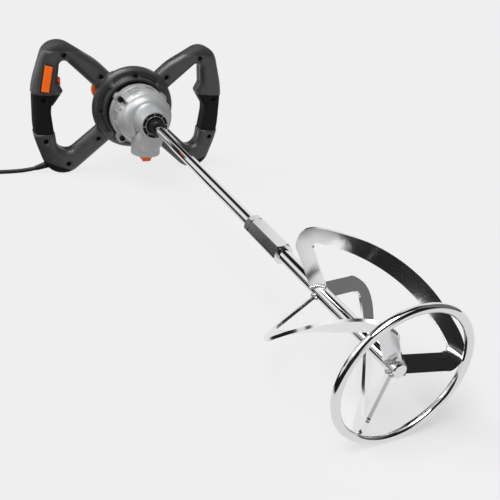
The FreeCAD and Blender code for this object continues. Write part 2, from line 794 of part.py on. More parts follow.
# Gear case
plate_front = rim_y - plate_thickness
flange_front = plate_front - flange_thickness
dome_z = -4.0
body_r = case_r - 3
ears = [(36.0, 21.0), (-36.0, 21.0), (31.0, -46.0), (-31.0, -46.0)]
first_gear_r = gear_tip(first_gear_teeth, first_module)
high_gear_r = gear_tip(high_gear_teeth, high_module)
high_pinion_r = gear_tip(high_pinion_teeth, high_module)
lay_room_r = max(sleeve_r, high_pinion_r) + 1.0
dome_span = ridge_y - flange_front
shoulder_at = flange_front + dome_span * 0.55
neck_at = flange_front + dome_span * 0.78
chin_front = bush_front - 3
case_outer = joined([
    turned([(0, plate_front), (body_r, plate_front), (body_r, flange_front), (body_r - 1, shoulder_at),
            (body_r - 5, neck_at + 3), (ridge_r + 4, neck_at), (ridge_r + 2, neck_at - 1),
            (ridge_r + 1, ridge_y + 3), (ridge_r - 3, ridge_y), (0, ridge_y)], dome_z),
    rod(0, housing_z, case_r, plate_front, flange_front),
    turned([(0, ridge_y + 8), (nose_r + 3, ridge_y + 8), (nose_r + 3, ridge_y - 1), (nose_r, ridge_y - 4),
            (nose_tip_r, nose_end), (0, nose_end)], 0),
    post(0, selector_y, selector_boss_r, selector_boss_bottom, layshaft_z + 10),
    turned([(0, neck_at), (chin_r, neck_at), (chin_r, chin_front + 5), (chin_r - 5, chin_front),
            (0, chin_front)], layshaft_z)]
    + [rod(x, z, ear_r, plate_front, flange_front) for x, z in ears])
for start in (62, 100, 139, 171):
    case_outer = case_outer.cut(sector_ring(dome_z, body_r + 5, body_r - pocket_depth, shoulder_at + 2,
                                            flange_front - 2, start, 22))
case_room_r = body_r - 2 * case_wall
case_room = joined([
    turned([(0, plate_front + 1), (case_room_r, plate_front + 1),
            (case_room_r, flange_front + dome_span * 0.35),
            (body_r - 6 - case_wall, flange_front + dome_span * 0.65), (ridge_r + 1 - case_wall, ridge_y + 6),
            (nose_r - 3, ridge_y + case_wall), (0, ridge_y + case_wall)], dome_z),
    rod(0, layshaft_z, first_gear_r + 1.2, plate_front + 1, flange_front + 1.5),
    rod(0, layshaft_z, lay_room_r, plate_front + 1, high_gear_front - 1),
    rod(0, 0, high_gear_r + 0.8, ridge_y + 8, high_gear_front - 1),
    rod(0, 0, spindle_bearing_r + fit, ridge_y + 8, spindle_bearing_front),
    rod(0, 0, spindle_head_r + 0.5, ridge_y, nose_end - 1),
    rod(0, 0, seal_r + fit, seal_back, nose_end - 1),
    rod(0, layshaft_z, bush_r + fit, ridge_y + 8, bush_front),
    post(0, selector_y, knob_shaft_r + fit, selector_boss_bottom - 1, layshaft_z)])
ear_holes = [rod(x, z, case_screw_r + fit, plate_front + 1, flange_front - 1) for x, z in ears]
head_rooms = [rod(x, z, case_screw_head_r + gap, flange_front, ridge_y) for x, z in ears]
nodes["gear_case"] = without(case_outer, [case_room] + ear_holes + head_rooms)

# Bearing plate with the bridge that carries the spindle's rear end
bridge_legs = []
for x in (-bridge_leg_x, bridge_leg_x):
    bridge_legs.append(rod(x, bridge_leg_z, bridge_leg_r, plate_front + 1, bridge_back - 1))
bearing_plate = joined([
    rod(0, housing_z, body_r, plate_front, rim_y),
    rod(0, housing_z, mount_bore_r - fit, rim_y - 1, rim_y + mount_ring_depth - 3),
    rod(0, 0, bridge_r, bridge_back, bridge_front)] + bridge_legs
    + [rod(x, z, ear_r - 1, plate_front, rim_y) for x, z in ears])
bearing_plate = without(bearing_plate, [
    rod(0, housing_z, mount_bore_r - 4, rim_y, collar_y),
    rod(0, housing_z, front_bearing_r + fit, rim_y - bearing_width, collar_y),
    rod(0, housing_z, front_bearing_r - 4, plate_front - 0.5, rim_y),
    rod(0, layshaft_z, lay_bearing_r + fit, plate_front - 1, plate_front + bearing_width - 1),
    rod(0, 0, rear_bush_r + fit, bridge_back + 1, bridge_front - 1)]
    + [rod(x, z, case_screw_r + fit, plate_front - 1, rim_y + 1) for x, z in ears])
nodes["bearing_plate"] = bearing_plate
case_screws = []
for x, z in ears:
    tip_y = rim_y + mount_ring_depth - 2
    head = rod(x, z, case_screw_head_r, flange_front - case_screw_head_h, flange_front)
    shank = rod(x, z, case_screw_r, flange_front - 1, tip_y)
    drive = rod(x, z, case_screw_r * 0.8, flange_front - case_screw_head_h - 1,
                flange_front - case_screw_head_h / 2)
    front_shell = front_shell.cut(rod(x, z, case_screw_r + fit, rim_y - 1, tip_y + 0.5))
    case_screws.append(head.fuse(shank).cut(drive))
nodes["gear_case_screws"] = Part.makeCompound(case_screws)
nodes["front_shell"] = front_shell
nodes["rear_shell"] = rear_shell

# Bearings, bushes and the seal
nodes["spindle_front_bearing"] = bearing(0, spindle_r + fit, spindle_bearing_r, spindle_bearing_front,
                                         spindle_bearing_back)
nodes["spindle_rear_bush"] = tube(0, 0, rear_bush_r, spindle_tail_r + fit, bridge_front, bridge_back)
nodes["layshaft_rear_bearing"] = bearing(layshaft_z, layshaft_end_r + fit, lay_bearing_r, plate_front,
                                         plate_front + bearing_width - 1)
nodes["layshaft_front_bush"] = tube(0, layshaft_z, bush_r, layshaft_end_r + fit, bush_front, bush_back)
nodes["armature_front_bearing"] = bearing(housing_z, armature_shaft_r + fit, front_bearing_r,
                                          rim_y - bearing_width, rim_y)
nodes["armature_rear_bearing"] = bearing(housing_z, armature_tail_r + fit, rear_bearing_r, rear_bearing_y,
                                         rear_bearing_y + bearing_width)
nodes["shaft_seal"] = tube(0, 0, seal_r, spindle_head_r + 2 * fit, nose_end + seal_recess, seal_back)

# Spindle with its two gears
spindle = turned([(0, bridge_back), (spindle_tail_r, bridge_back), (spindle_tail_r, bridge_front - 1),
                  (spindle_r, bridge_front - 1), (spindle_r, spindle_bearing_front - 0.5),
                  (spindle_head_r, spindle_bearing_front - 0.5), (spindle_head_r, spindle_end + 1.5),
                  (spindle_head_r - 1.5, spindle_end), (0, spindle_end)], 0)
spindle_socket = rod(0, 0, thread_r + fit, spindle_end - 1, spindle_end + thread_in_spindle + 1)
nodes["spindle"] = spindle.cut(spindle_socket)
spindle_bore = rod(0, 0, spindle_r + fit, bridge_back, nose_end)
low_gear_back = low_gear_front + low_gear_width
high_gear_back = high_gear_front + high_gear_width
low_gear = gear(0, low_gear_teeth, low_module, low_gear_front, low_gear_back, -90, backlash)
nodes["low_gear"] = low_gear.cut(spindle_bore)
high_gear = gear(0, high_gear_teeth, high_module, high_gear_front, high_gear_back, -90, backlash)
nodes["high_gear"] = high_gear.cut(spindle_bore)

# Layshaft with its gear, pinions and dog sleeve
flat_half = layshaft_r - 0.8
sleeve_front = sleeve_centre - sleeve_width / 2
sleeve_back = sleeve_centre + sleeve_width / 2
flat_zone = box(flat_half, 2 * layshaft_r, high_dog_root + dog_length, low_dog_root - dog_length,
                layshaft_z - 20, layshaft_z + 20)
layshaft = joined([rod(0, layshaft_z, layshaft_end_r, plate_front + bearing_width - 1.5, bush_front + 0.5),
                   rod(0, layshaft_z, layshaft_r, plate_front - 1, bush_back + 0.5)])
nodes["layshaft"] = without(layshaft, [flat_zone, mirrored(flat_zone)])
lay_bore = rod(0, layshaft_z, layshaft_r + fit, 0, nose_end)
nodes["layshaft_gear"] = gear(layshaft_z, first_gear_teeth, first_module, first_gear_front,
                              first_gear_front + first_gear_width, 90, backlash).cut(lay_bore)


def dogs(y0, y1, turn_by):
    """Ring of dog teeth round the layshaft's axis."""
    teeth = []
    for k in range(dog_count):
        arc = 360 / dog_count
        start = arc * k + turn_by - dog_arc / 2
        teeth.append(sector_ring(layshaft_z, dog_outer_r, dog_inner_r, y0, y1, start, dog_arc))
    return teeth


half_step = 180 / dog_count
low_pinion = joined([gear(layshaft_z, low_pinion_teeth, low_module, low_gear_front - 0.5,
                          low_gear_front + low_gear_width + 0.5, 90 + 180 / low_pinion_teeth, backlash),
                     rod(0, layshaft_z, dog_outer_r, low_dog_root, low_gear_front - 0.5)]
                    + dogs(low_dog_root - dog_length, low_dog_root + 0.5, 0))
nodes["low_pinion"] = low_pinion.cut(lay_bore)
high_pinion = joined([gear(layshaft_z, high_pinion_teeth, high_module, high_gear_front - 0.3, high_dog_root,
                           90 + 180 / high_pinion_teeth, backlash)]
                     + dogs(high_dog_root - 0.5, high_dog_root + dog_length, 0))
nodes["high_pinion"] = high_pinion.cut(lay_bore)
sleeve_bore = rod(0, layshaft_z, layshaft_r + gap, 0, nose_end).common(
    box(-flat_half - 0.1, flat_half + 0.1, nose_end, 0, layshaft_z - 20, layshaft_z + 20))
groove_half = eccentric_pin_r + gap
dog_sleeve = joined([rod(0, layshaft_z, sleeve_r, sleeve_front, sleeve_back)]
                    + dogs(sleeve_back - 0.5, sleeve_back + dog_length, half_step)
                    + dogs(sleeve_front - dog_length, sleeve_front + 0.5, half_step))
dog_sleeve = dog_sleeve.cut(tube(0, layshaft_z, sleeve_r + 1, groove_r, sleeve_centre - groove_half,
                                 sleeve_centre + groove_half))
nodes["dog_sleeve"] = dog_sleeve.cut(sleeve_bore)

# Gear selector: knob, shaft and the eccentric pin in the sleeve's groove
eccentric = sleeve_travel / 2 / math.sin(math.radians(45))
pin_x = eccentric * math.cos(math.radians(45))
pin_y = selector_y + sleeve_travel / 2
knob_top = selector_boss_bottom - gap
pin_top = layshaft_z - groove_r - 2 * gap


def wing_outline(half_width, half_length, z):
    """Rectangle round the selector's axis at the height z."""
    signs = ((-1, -1), (1, -1), (1, 1), (-1, 1), (-1, -1))
    return Part.makePolygon([V(sx * half_width, selector_y + sy * half_length, z) for sx, sy in signs])


wing = Part.makeLoft([wing_outline(knob_width / 2, knob_length / 2, knob_top),
                      wing_outline(knob_width / 3.2, knob_length / 2.6, knob_top - knob_height)], True, True)
nodes["selector_knob"] = joined([wing, post(0, selector_y, knob_shaft_r, knob_top - 1, knob_shaft_top),
                                 post(pin_x, pin_y, eccentric_pin_r, knob_shaft_top - 1, pin_top)])

# Upper shaft, nuts and paddle shaft
coupling_y = jam_nut_y - jam_nut_length
coupling_end = coupling_y - coupling_length
thread_meet = (coupling_y + coupling_end) / 2
nodes["upper_shaft"] = joined([rod(0, 0, shaft_r, spindle_end, jam_nut_y),
                               rod(0, 0, thread_r, spindle_end + thread_in_spindle, spindle_end - 1),
                               rod(0, 0, thread_r, jam_nut_y + 1, thread_meet + 1)])
thread_bore = rod(0, 0, thread_r + fit, jam_nut_y + 5, coupling_end - 5)
nodes["jam_nut"] = hex_bar(coupling_flats, coupling_y, jam_nut_y).cut(thread_bore)
nodes["coupling_nut"] = hex_bar(coupling_flats, coupling_end, coupling_y).cut(thread_bore)
paddle_shaft = joined([rod(0, 0, thread_r, thread_meet - 1, coupling_end - 1),
                       turned([(0, coupling_end), (shaft_r, coupling_end), (shaft_r, paddle_shaft_end + 1),
                               (shaft_r - 1, paddle_shaft_end), (0, paddle_shaft_end)], 0)])
nodes["paddle_shaft"] = paddle_shaft

# Paddle ring and the bent strip blades
ring = Part.makeTorus(ring_r, ring_rod_r, V(0, ring_y, 0), Y_AXIS)
nodes["paddle_ring"] = ring


def radial(angle):
    return V(math.cos(angle), 0, math.sin(angle))


def blade_sections(first_angle):
    """Rectangles along one blade: arm from the shaft, rounded corner, twisted band, corner and arm back."""
    twist = math.radians(blade_twist)
    fall = blade_bottom - blade_top
    edge_share = blade_corner_run / math.hypot(blade_radius * twist, fall)

    def band(share):
        return radial(first_angle - twist * share) * blade_radius + V(0, blade_top + fall * share, 0)

    def band_way(share):
        angle = first_angle - twist * share
        return (V(math.sin(angle), 0, -math.cos(angle)) * (blade_radius * twist) + V(0, fall, 0)).normalize()

    def corner_arc(start, come, leave, count):
        """Places on the arc that turns from come to leave, with the strip's direction at each."""
        turn = math.acos(come.dot(leave))
        radius = blade_corner_run / math.tan(turn / 2)
        across = (leave - come * come.dot(leave)).normalize()
        centre = start + across * radius
        spots = []
        for k in range(count + 1):
            swing = turn * k / count
            place = centre + (come * math.sin(swing) - across * math.cos(swing)) * radius
            spots.append((place, come * math.cos(swing) + across * math.sin(swing)))
        return spots

    def hub_point(corner, hub_y):
        return radial(math.atan2(corner.z, corner.x)) * (shaft_r - 1.5) + V(0, hub_y, 0)

    top_way = band_way(edge_share)
    top_corner = band(edge_share) - top_way * blade_corner_run
    top_hub = hub_point(top_corner, blade_hub_top)
    arm_out = (top_corner - top_hub).normalize()
    top_normal = arm_out.cross(top_way).normalize()
    low_way = band_way(1 - edge_share)
    low_corner = band(1 - edge_share) + low_way * blade_corner_run
    low_hub = hub_point(low_corner, blade_hub_bottom)
    arm_in = (low_hub - low_corner).normalize()
    low_normal = low_way.cross(arm_in).normalize()

    places = [(top_hub, arm_out, top_normal)]
    top_arc = corner_arc(top_corner - arm_out * blade_corner_run, arm_out, top_way, corner_steps)
    places += [(place, way, top_normal) for place, way in top_arc]
    for k in range(1, band_steps):
        share = edge_share + (1 - 2 * edge_share) * k / band_steps
        way = band_way(share)
        near_top = max(0, 1 - 3 * k / band_steps)
        near_low = max(0, 3 * k / band_steps - 2)
        level = radial(first_angle - twist * share).cross(way).normalize()
        normal = top_normal * near_top + low_normal * near_low + level * (1 - near_top - near_low)
        places.append((band(share), way, (normal - way * normal.dot(way)).normalize()))
    low_arc = corner_arc(band(1 - edge_share), low_way, arm_in, corner_steps)
    places += [(place, way, low_normal) for place, way in low_arc]
    places.append((low_hub, arm_in, low_normal))

    sections = []
    for place, way, normal in places:
        across = way.cross(normal) * (blade_width / 2)
        deep = normal * (blade_thickness / 2)
        corners = [place + across + deep, place - across + deep, place - across - deep, place + across - deep]
        sections.append(Part.makePolygon(corners + corners[:1]))
    return sections


ring_room = Part.makeTorus(ring_r, ring_rod_r + fit, V(0, ring_y, 0), Y_AXIS)
shaft_room = rod(0, 0, shaft_r + fit, coupling_end, ring_y - 20)
for k in range(blade_count):
    sections = blade_sections(math.radians(blade_angle + 360 / blade_count * k))
    band = Part.makeLoft(sections[1:-1], True, False)
    arms = [Part.makeLoft(pair, True, True).cut(shaft_room) for pair in (sections[:2], sections[-2:])]
    nodes["blade_" + str(k + 1)] = joined([arms[0], band.cut(ring_room), arms[1]])

# Armature
rear_journal_y = barrel_end + 2
armature_shaft = joined([
    gear(housing_z, first_pinion_teeth, first_module, first_gear_front - 0.6,
         first_gear_front + first_gear_width + 0.6, -90 + 180 / first_pinion_teeth, backlash),
    rod(0, housing_z, pinion_neck_r, first_gear_front + first_gear_width, rim_y - bearing_width + 1),
    rod(0, housing_z, armature_shaft_r, rim_y - bearing_width, rear_journal_y),
    rod(0, housing_z, armature_tail_r, rear_journal_y - 1, rear_bearing_y + bearing_width + 1)])
nodes["armature_shaft"] = armature_shaft
armature_bore = rod(0, housing_z, armature_shaft_r + fit, fan_y - 5, cap_end)
stator_end = stator_y + stator_length
core = rod(0, housing_z, armature_r, stator_y, stator_end).cut(armature_bore)
for k in range(slot_count):
    slot = box(armature_r * 0.65, armature_r + 1, stator_y - 1, stator_end + 1,
               -slot_width / 2, slot_width / 2)
    slot.translate(V(0, 0, housing_z))
    core = core.cut(spun(slot, 360 / slot_count * k, housing_z))
nodes["armature_core"] = core
end_turns = []
for y0, y1 in ((stator_y - winding_overhang, stator_y), (stator_end, stator_end + winding_overhang)):
    end_turns.append(tube(0, housing_z, armature_r * 0.88, armature_shaft_r + fit, y0, y1))
nodes["armature_windings"] = Part.makeCompound(end_turns)
commutator_y = stator_end + winding_overhang + 4
commutator_end = commutator_y + commutator_length
commutator = rod(0, housing_z, commutator_r, commutator_y, commutator_end).cut(armature_bore)
for k in range(slot_count * 2):
    slit = box(commutator_r - 0.8, commutator_r + 1, commutator_y - 1, commutator_end + 1, -0.3, 0.3)
    slit.translate(V(0, 0, housing_z))
    commutator = commutator.cut(spun(slit, 180 / slot_count * k, housing_z))
nodes["commutator"] = commutator
fan = joined([rod(0, housing_z, armature_shaft_r + 4, fan_y, fan_y + fan_depth),
              rod(0, housing_z, fan_r, fan_y + fan_depth - 2, fan_y + fan_depth)])
for k in range(fan_blades):
    vane = box(armature_shaft_r + 3, fan_r - 1, fan_y, fan_y + fan_depth - 1, -0.9, 0.9)
    vane.translate(V(0, 0, housing_z))
    fan = fan.fuse(spun(vane, 360 / fan_blades * k, housing_z))
nodes["fan"] = fan.removeSplitter().cut(armature_bore)

# Stator with its field windings, brushes and their holders
pole_inner = armature_r + air_gap
coil_inner = pole_inner + 3
coil_outer = stator_r - 4
stator = tube(0, housing_z, stator_r, pole_inner, stator_y, stator_end)
field_coils = []
for middle in (90, 270):
    whole = sector_ring(housing_z, coil_outer, coil_inner, stator_y - winding_overhang,
                        stator_end + winding_overhang, middle - coil_half_arc, 2 * coil_half_arc)
    pole = sector_ring(housing_z, coil_outer + 1, coil_inner - 1, stator_y - fit, stator_end + fit,
                       middle - pole_half_arc, 2 * pole_half_arc)
    field_coils.append(whole.cut(pole))
    for start in (middle - coil_half_arc - 1, middle + pole_half_arc - 1):
        stator = stator.cut(sector_ring(housing_z, coil_outer + gap, coil_inner - gap, stator_y - 1,
                                        stator_end + 1, start, coil_half_arc - pole_half_arc + 2))
nodes["stator_core"] = stator
nodes["field_windings"] = Part.makeCompound(field_coils)
plate_y = stator_end + winding_overhang + 2
nodes["brush_plate"] = tube(0, housing_z, barrel_r - wall - fit, commutator_r + 4, plate_y, plate_y + 3)
holders = []
brushes = []
springs = []
brush_y = (commutator_y + commutator_end) / 2
half_brush = brush_size / 2
holder_outer = half_brush + 2.5
brush_in = commutator_r + gap
brush_out = brush_in + brush_length
holder_end = barrel_r - wall - 6
for way in (-1, 1):
    holder = box(brush_in + 2, holder_end, plate_y + 3, brush_y + holder_outer, -holder_outer, holder_outer)
    half_hole = half_brush + fit
    holder = holder.cut(box(brush_in, holder_end - 2, brush_y - half_hole, brush_y + half_hole,
                            -half_hole, half_hole))
    brush = box(brush_in, brush_out, brush_y - half_brush, brush_y + half_brush, -half_brush, half_brush)
    spring = Part.makeCylinder(half_brush - 0.5, holder_end - 2 - brush_out, V(brush_out, brush_y, 0), X_AXIS)
    spring = spring.cut(Part.makeCylinder(half_brush - 1.5, holder_end, V(brush_out - 1, brush_y, 0), X_AXIS))
    for shape, group in ((holder, holders), (brush, brushes), (spring, springs)):
        shape.translate(V(0, 0, housing_z))
        group.append(shape if way > 0 else mirrored(shape))
nodes["brush_holders"] = Part.makeCompound(holders)
nodes["carbon_brushes"] = Part.makeCompound(brushes)
nodes["brush_springs"] = Part.makeCompound(springs)

# Trigger, switch, lock button and speed dial
trigger = joined([leaning_block(trigger_width, trigger_length, -trigger_raise, flange_y + 1),
                  leaning_block(trigger_width + 4, trigger_length + 4, flange_y, flange_y + 2),
                  leaning_block(trigger_width / 2, trigger_length / 4, flange_y + 1, switch_y + 4)])
top_rim = [e for e in trigger.Edges if abs(e.BoundBox.YMax + trigger_raise) < 1e-6]
nodes["trigger"] = trigger.makeFillet(1.0, top_rim)
switch_body = leaning_block(switch_width, trigger_length + 4, switch_y, switch_back)
plunger_hole = leaning_block(trigger_width / 2 + 2 * gap, trigger_length / 4 + 2 * gap, switch_y - 1,
                             switch_y + 4 + trigger_travel + 1)
nodes["switch_body"] = switch_body.cut(plunger_hole)
lock_button = joined([lock_block(-wall - 4, lock_raise, 0), lock_block(-wall - 4, -wall - 2.4, 1.2)])
nodes["lock_button"] = lock_button
dial = rod(dial_x, dial_z, dial_r, dial_y, dial_y + dial_width)
for k in range(dial_ribs):
    angle = 2 * math.pi * k / dial_ribs
    dial = dial.cut(rod(dial_x + dial_r * math.cos(angle), dial_z + dial_r * math.sin(angle), 0.8, dial_y - 1,
                        dial_y + dial_width + 1))
nodes["speed_dial"] = dial.cut(rod(dial_x, dial_z, dial_pin_r + fit, dial_y - 1, dial_y + dial_width + 1))
nodes["speed_control"] = joined([
    box(control_x - control_size / 2, control_x + control_size / 2, control_y, control_y + control_depth,
        control_z - control_size / 2, control_z + control_size / 2),
    rod(dial_x, dial_z, dial_pin_r, dial_y + 1, control_y + 1)])

# Grommet and cord clamp
grommet = along_cord(grommet_r, -grommet_inside, grommet_outside)
nodes["cable_grommet"] = grommet.cut(along_cord(cord_r + fit, -40, 20))
nodes["cord_clamp"] = clamp_bar(0).cut(rod(clamp_spot.x, clamp_spot.z, screw_r + fit, 0, handle_depth))
clamp_head = rod(clamp_spot.x, clamp_spot.z, screw_head_r, clamp_seat - screw_head_h, clamp_seat)
clamp_shank = rod(clamp_spot.x, clamp_spot.z, screw_r, clamp_seat - 1, clamp_screw_end)
nodes["clamp_screw"] = clamp_head.fuse(clamp_shank)

# Lay the tool on the floor: it rests on the feet's front rounding and on the paddle ring
span = edge_round - ring_y
drop = lobe_reach - edge_round - ring_r
tilt = math.atan2(drop, span) + math.asin((edge_round - ring_rod_r) / math.hypot(span, drop))
lay = FreeCAD.Placement(V(0, 0, 0), FreeCAD.Rotation(V(1, 0, 0), math.degrees(tilt)))
lift = ring_rod_r + ring_r * math.cos(tilt) - ring_y * math.sin(tilt)
front_reach = ring_y * math.cos(tilt) - ring_r * math.sin(tilt) - ring_rod_r
rear_reach = cap_end * math.cos(tilt) - (housing_z - cap_face_r) * math.sin(tilt)
lay.Base = V(0, -(front_reach + rear_reach) / 2, lift)
for name in nodes:
    nodes[name].Placement = lay.multiply(nodes[name].Placement)
print("lay tilt", math.degrees(tilt), "base", lay.Base)

# Cord on the floor, in the laid-down frame
floor_z = cord_r + 0.05
start = lay.multVec(cord_exit + cord_way * cord_tail_at)
exit_point = lay.multVec(cord_exit + cord_way * 14)
cord_steps = [(-20, 1, floor_z + 2), (-42, 3, floor_z), (-80, 4, floor_z), (-125, -12, floor_z)]
coil_z = cord_r + gap + tie_thickness
coil_outer_r = coil_inner_r + (coil_turns - 0.5) * coil_pitch
coil_x = exit_point.x - 254
coil_y = exit_point.y - 44 + coil_outer_r
route = [start, exit_point]
route += [V(exit_point.x + dx, exit_point.y + dy, z) for dx, dy, z in cord_steps]
coil_start = V(coil_x, coil_y - coil_outer_r, coil_z)
route.append(coil_start + V(16 * cord_r, 0, 0))
route.append(coil_start + V(2 * cord_r, 0, 0))
cord_edges = cord_path(route)
nodes["power_cord"] = cord_tube(cord_edges)
print("route", [tuple(round(c, 2) for c in p) for p in route])


def coil_spot(radius, half_turns, z):
    angle = -math.pi / 2 - math.pi * half_turns
    return V(coil_x + radius * math.cos(angle), coil_y + radius * math.sin(angle), z)


def coil_way(half_turns):
    angle = -math.pi / 2 - math.pi * half_turns
    return V(math.sin(angle), -math.cos(angle), 0)


half_pitch = coil_pitch / 2
inward_turns = 2 * coil_turns - 1
layer_rise = coil_pitch
spots = [coil_spot(coil_outer_r - half_pitch * k, k, coil_z) for k in range(inward_turns + 1)]
for k in range(inward_turns):
    spots.append(coil_spot(coil_inner_r + half_pitch * k, inward_turns + 1 + k, coil_z + layer_rise))
ways = [coil_way(k) for k in range(len(spots))]
coil_edges = [Part.LineSegment(spots[0] - ways[0] * (2 * cord_r), spots[0]).toShape()]
for k in range(len(spots) - 1):
    coil_edges += biarc(spots[k], ways[k], spots[k + 1], ways[k + 1])
coil_edges.append(Part.LineSegment(spots[-1], spots[-1] + ways[-1] * (2 * cord_r)).toShape())
nodes["cord_coil"] = cord_tube(coil_edges)

# Tail of the cord and the plug that lies on the floor
tail_start = spots[-1] + ways[-1] * (2 * cord_r)
plug_z = plug_thickness / 2
tail_steps = [(-20, 0, tail_start.z), (-44, 1.5, plug_z + 2.2), (-68, 3.5, plug_z), (-90, 4.5, plug_z)]
tail = [tail_start] + [V(tail_start.x + dx, tail_start.y + dy, z) for dx, dy, z in tail_steps]
tail_edges = cord_path(tail)
nodes["cord_tail"] = cord_tube(tail_edges)
print("tail", [tuple(round(c, 2) for c in p) for p in tail])
print("cord length", round(sum(e.Length for e in cord_edges + coil_edges + tail_edges)))

tail_way = (tail[-1] - tail[-2]).normalize()
plug_turn = math.degrees(math.atan2(tail_way.y, tail_way.x))
plug_neck = 16.0
plug_face = plug_neck + plug_length
neck = Part.makeCone(cord_r + 2, cord_r + 3.4, plug_neck, V(0, 0, 0), X_AXIS)
grip_block = box(plug_neck - 2, plug_face, -plug_width / 2, plug_width / 2, -plug_z, plug_z)
grip_block = grip_block.makeFillet(plug_corner, grip_block.Edges)
plug = [joined([neck.common(box(0, plug_face, -plug_width, plug_width, -plug_z, plug_z)), grip_block])]
straight = plug_pin_length - plug_pin_r
for side in (-1, 1):
    pin_side = side * plug_pin_spacing / 2
    pin = Part.makeCylinder(plug_pin_r, straight, V(plug_face, pin_side, 0), X_AXIS)
    tip = Part.makeSphere(plug_pin_r, V(plug_face + straight, pin_side, 0))
    plug.append(pin.fuse(tip))
plug_group = Part.makeCompound(plug)
plug_group.rotate(V(0, 0, 0), Z_AXIS, plug_turn)
plug_group.translate(tail[-1])
nodes["plug"] = plug_group

# Tie round the coil's turns on the side away from the cord's entry
bow = coil_inner_r - math.sqrt(coil_inner_r ** 2 - (tie_width / 2) ** 2)
tie_low = coil_y + coil_inner_r - cord_r - bow - gap
tie_high = coil_y + coil_outer_r + cord_r + gap
tie_top = coil_z + layer_rise + cord_r + gap
tie = box(coil_x - tie_width / 2, coil_x + tie_width / 2, tie_low - tie_thickness,
          tie_high + tie_thickness, 0, tie_top + tie_thickness)
tie_hole = box(coil_x - tie_width, coil_x + tie_width, tie_low, tie_high, tie_thickness, tie_top)
nodes["coil_tie"] = tie.cut(tie_hole)

os.makedirs("parts", exist_ok=True)
for name, shape in nodes.items():
    shape.exportStep("parts/" + name + ".step")
print(len(nodes), "nodes")
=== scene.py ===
"""Mixing drill on a pale studio floor: its finishes, cord, weld beads and small mouldings."""
import json
import math

import bmesh
import bpy
from mathutils import Matrix, Vector


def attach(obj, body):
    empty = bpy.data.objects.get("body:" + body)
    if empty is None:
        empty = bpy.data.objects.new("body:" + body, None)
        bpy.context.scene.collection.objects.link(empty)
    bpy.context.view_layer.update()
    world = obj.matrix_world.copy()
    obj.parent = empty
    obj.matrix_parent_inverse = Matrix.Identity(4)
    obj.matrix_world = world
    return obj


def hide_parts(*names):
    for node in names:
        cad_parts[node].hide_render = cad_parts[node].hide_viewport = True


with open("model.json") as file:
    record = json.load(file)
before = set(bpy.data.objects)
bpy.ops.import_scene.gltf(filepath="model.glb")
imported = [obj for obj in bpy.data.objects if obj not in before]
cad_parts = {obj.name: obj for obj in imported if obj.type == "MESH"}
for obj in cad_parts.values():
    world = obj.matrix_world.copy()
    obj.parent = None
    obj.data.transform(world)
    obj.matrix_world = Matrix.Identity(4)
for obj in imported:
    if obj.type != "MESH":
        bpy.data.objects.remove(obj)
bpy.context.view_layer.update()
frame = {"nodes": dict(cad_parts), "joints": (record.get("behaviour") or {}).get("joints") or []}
nodes = frame["nodes"]
spindle_joint = next(joint for joint in frame["joints"] if joint["name"] == "spindle_spin")

mm_per_m = 1000
full_turn = 360


def in_scene(name, data):
    """A new object in the scene."""
    thing = bpy.data.objects.new(name, data)
    bpy.context.scene.collection.objects.link(thing)
    return thing


def placing(x_way, y_way, z_way, place):
    """Matrix that lays X, Y and Z along three ways, with the origin at a place."""
    matrix = Matrix((x_way, y_way, z_way)).transposed().to_4x4()
    matrix.translation = place
    return matrix


# The tool's own axes: X across the handles, Y along the spindle towards the motor, Z up through the handles
tool_origin = Vector(spindle_joint["pos_m"])
across = Vector((1, 0, 0))
along = Vector(spindle_joint["axis"]).normalized()
upward = across.cross(along)
tool_matrix = placing(across, along, upward, tool_origin)


def tool_point(x, y, z):
    """A place given in the tool's axes, in millimetres."""
    return tool_matrix @ Vector((x / mm_per_m, y / mm_per_m, z / mm_per_m))


def tool_way(x, y, z):
    """A direction given in the tool's axes."""
    return tool_matrix.to_3x3() @ Vector((x, y, z))


# Camera
camera_place = (-323.15, -1048.51, 312.96)
camera_right = (0.893629, -0.432369, 0.120353)
camera_up = (0.109203, 0.469575, 0.876113)

camera_data = bpy.data.cameras.new("photo_camera")
camera_data.sensor_width = 36
camera_data.lens = 45.327
camera = in_scene("photo_camera", camera_data)
right_way = tool_way(*camera_right).normalized()
back_way = right_way.cross(tool_way(*camera_up)).normalized()
up_way = back_way.cross(right_way)
camera.matrix_world = placing(right_way, up_way, back_way, tool_point(*camera_place))
bpy.context.scene.camera = camera


# Shader maths
class Value:
    """A shader socket that Python's operators work on."""

    def __init__(self, finish, socket):
        self.finish = finish
        self.socket = socket

    def __add__(self, other):
        return self.finish.maths("ADD", self, other)

    def __radd__(self, other):
        return self.finish.maths("ADD", other, self)

    def __sub__(self, other):
        return self.finish.maths("SUBTRACT", self, other)

    def __rsub__(self, other):
        return self.finish.maths("SUBTRACT", other, self)

    def __mul__(self, other):
        return self.finish.maths("MULTIPLY", self, other)

    def __rmul__(self, other):
        return self.finish.maths("MULTIPLY", other, self)

    def __pow__(self, other):
        return self.finish.maths("POWER", self, other)

    def __rpow__(self, other):
        return self.finish.maths("POWER", other, self)

    def __abs__(self):
        return self.finish.maths("ABSOLUTE", self)


def tinted(colour, share):
    """A colour made darker or lighter."""
    return [part * share for part in colour]


def sway(value, amount):
    """How far a noise is above or below its middle, times an amount."""
    return amount * (value - 0.5)


# Sockets of a Mix node that mixes colours
mix_share, mix_first, mix_second, mix_result = 0, 6, 7, 2

# Rays that feel out each softened edge
edge_samples = 6


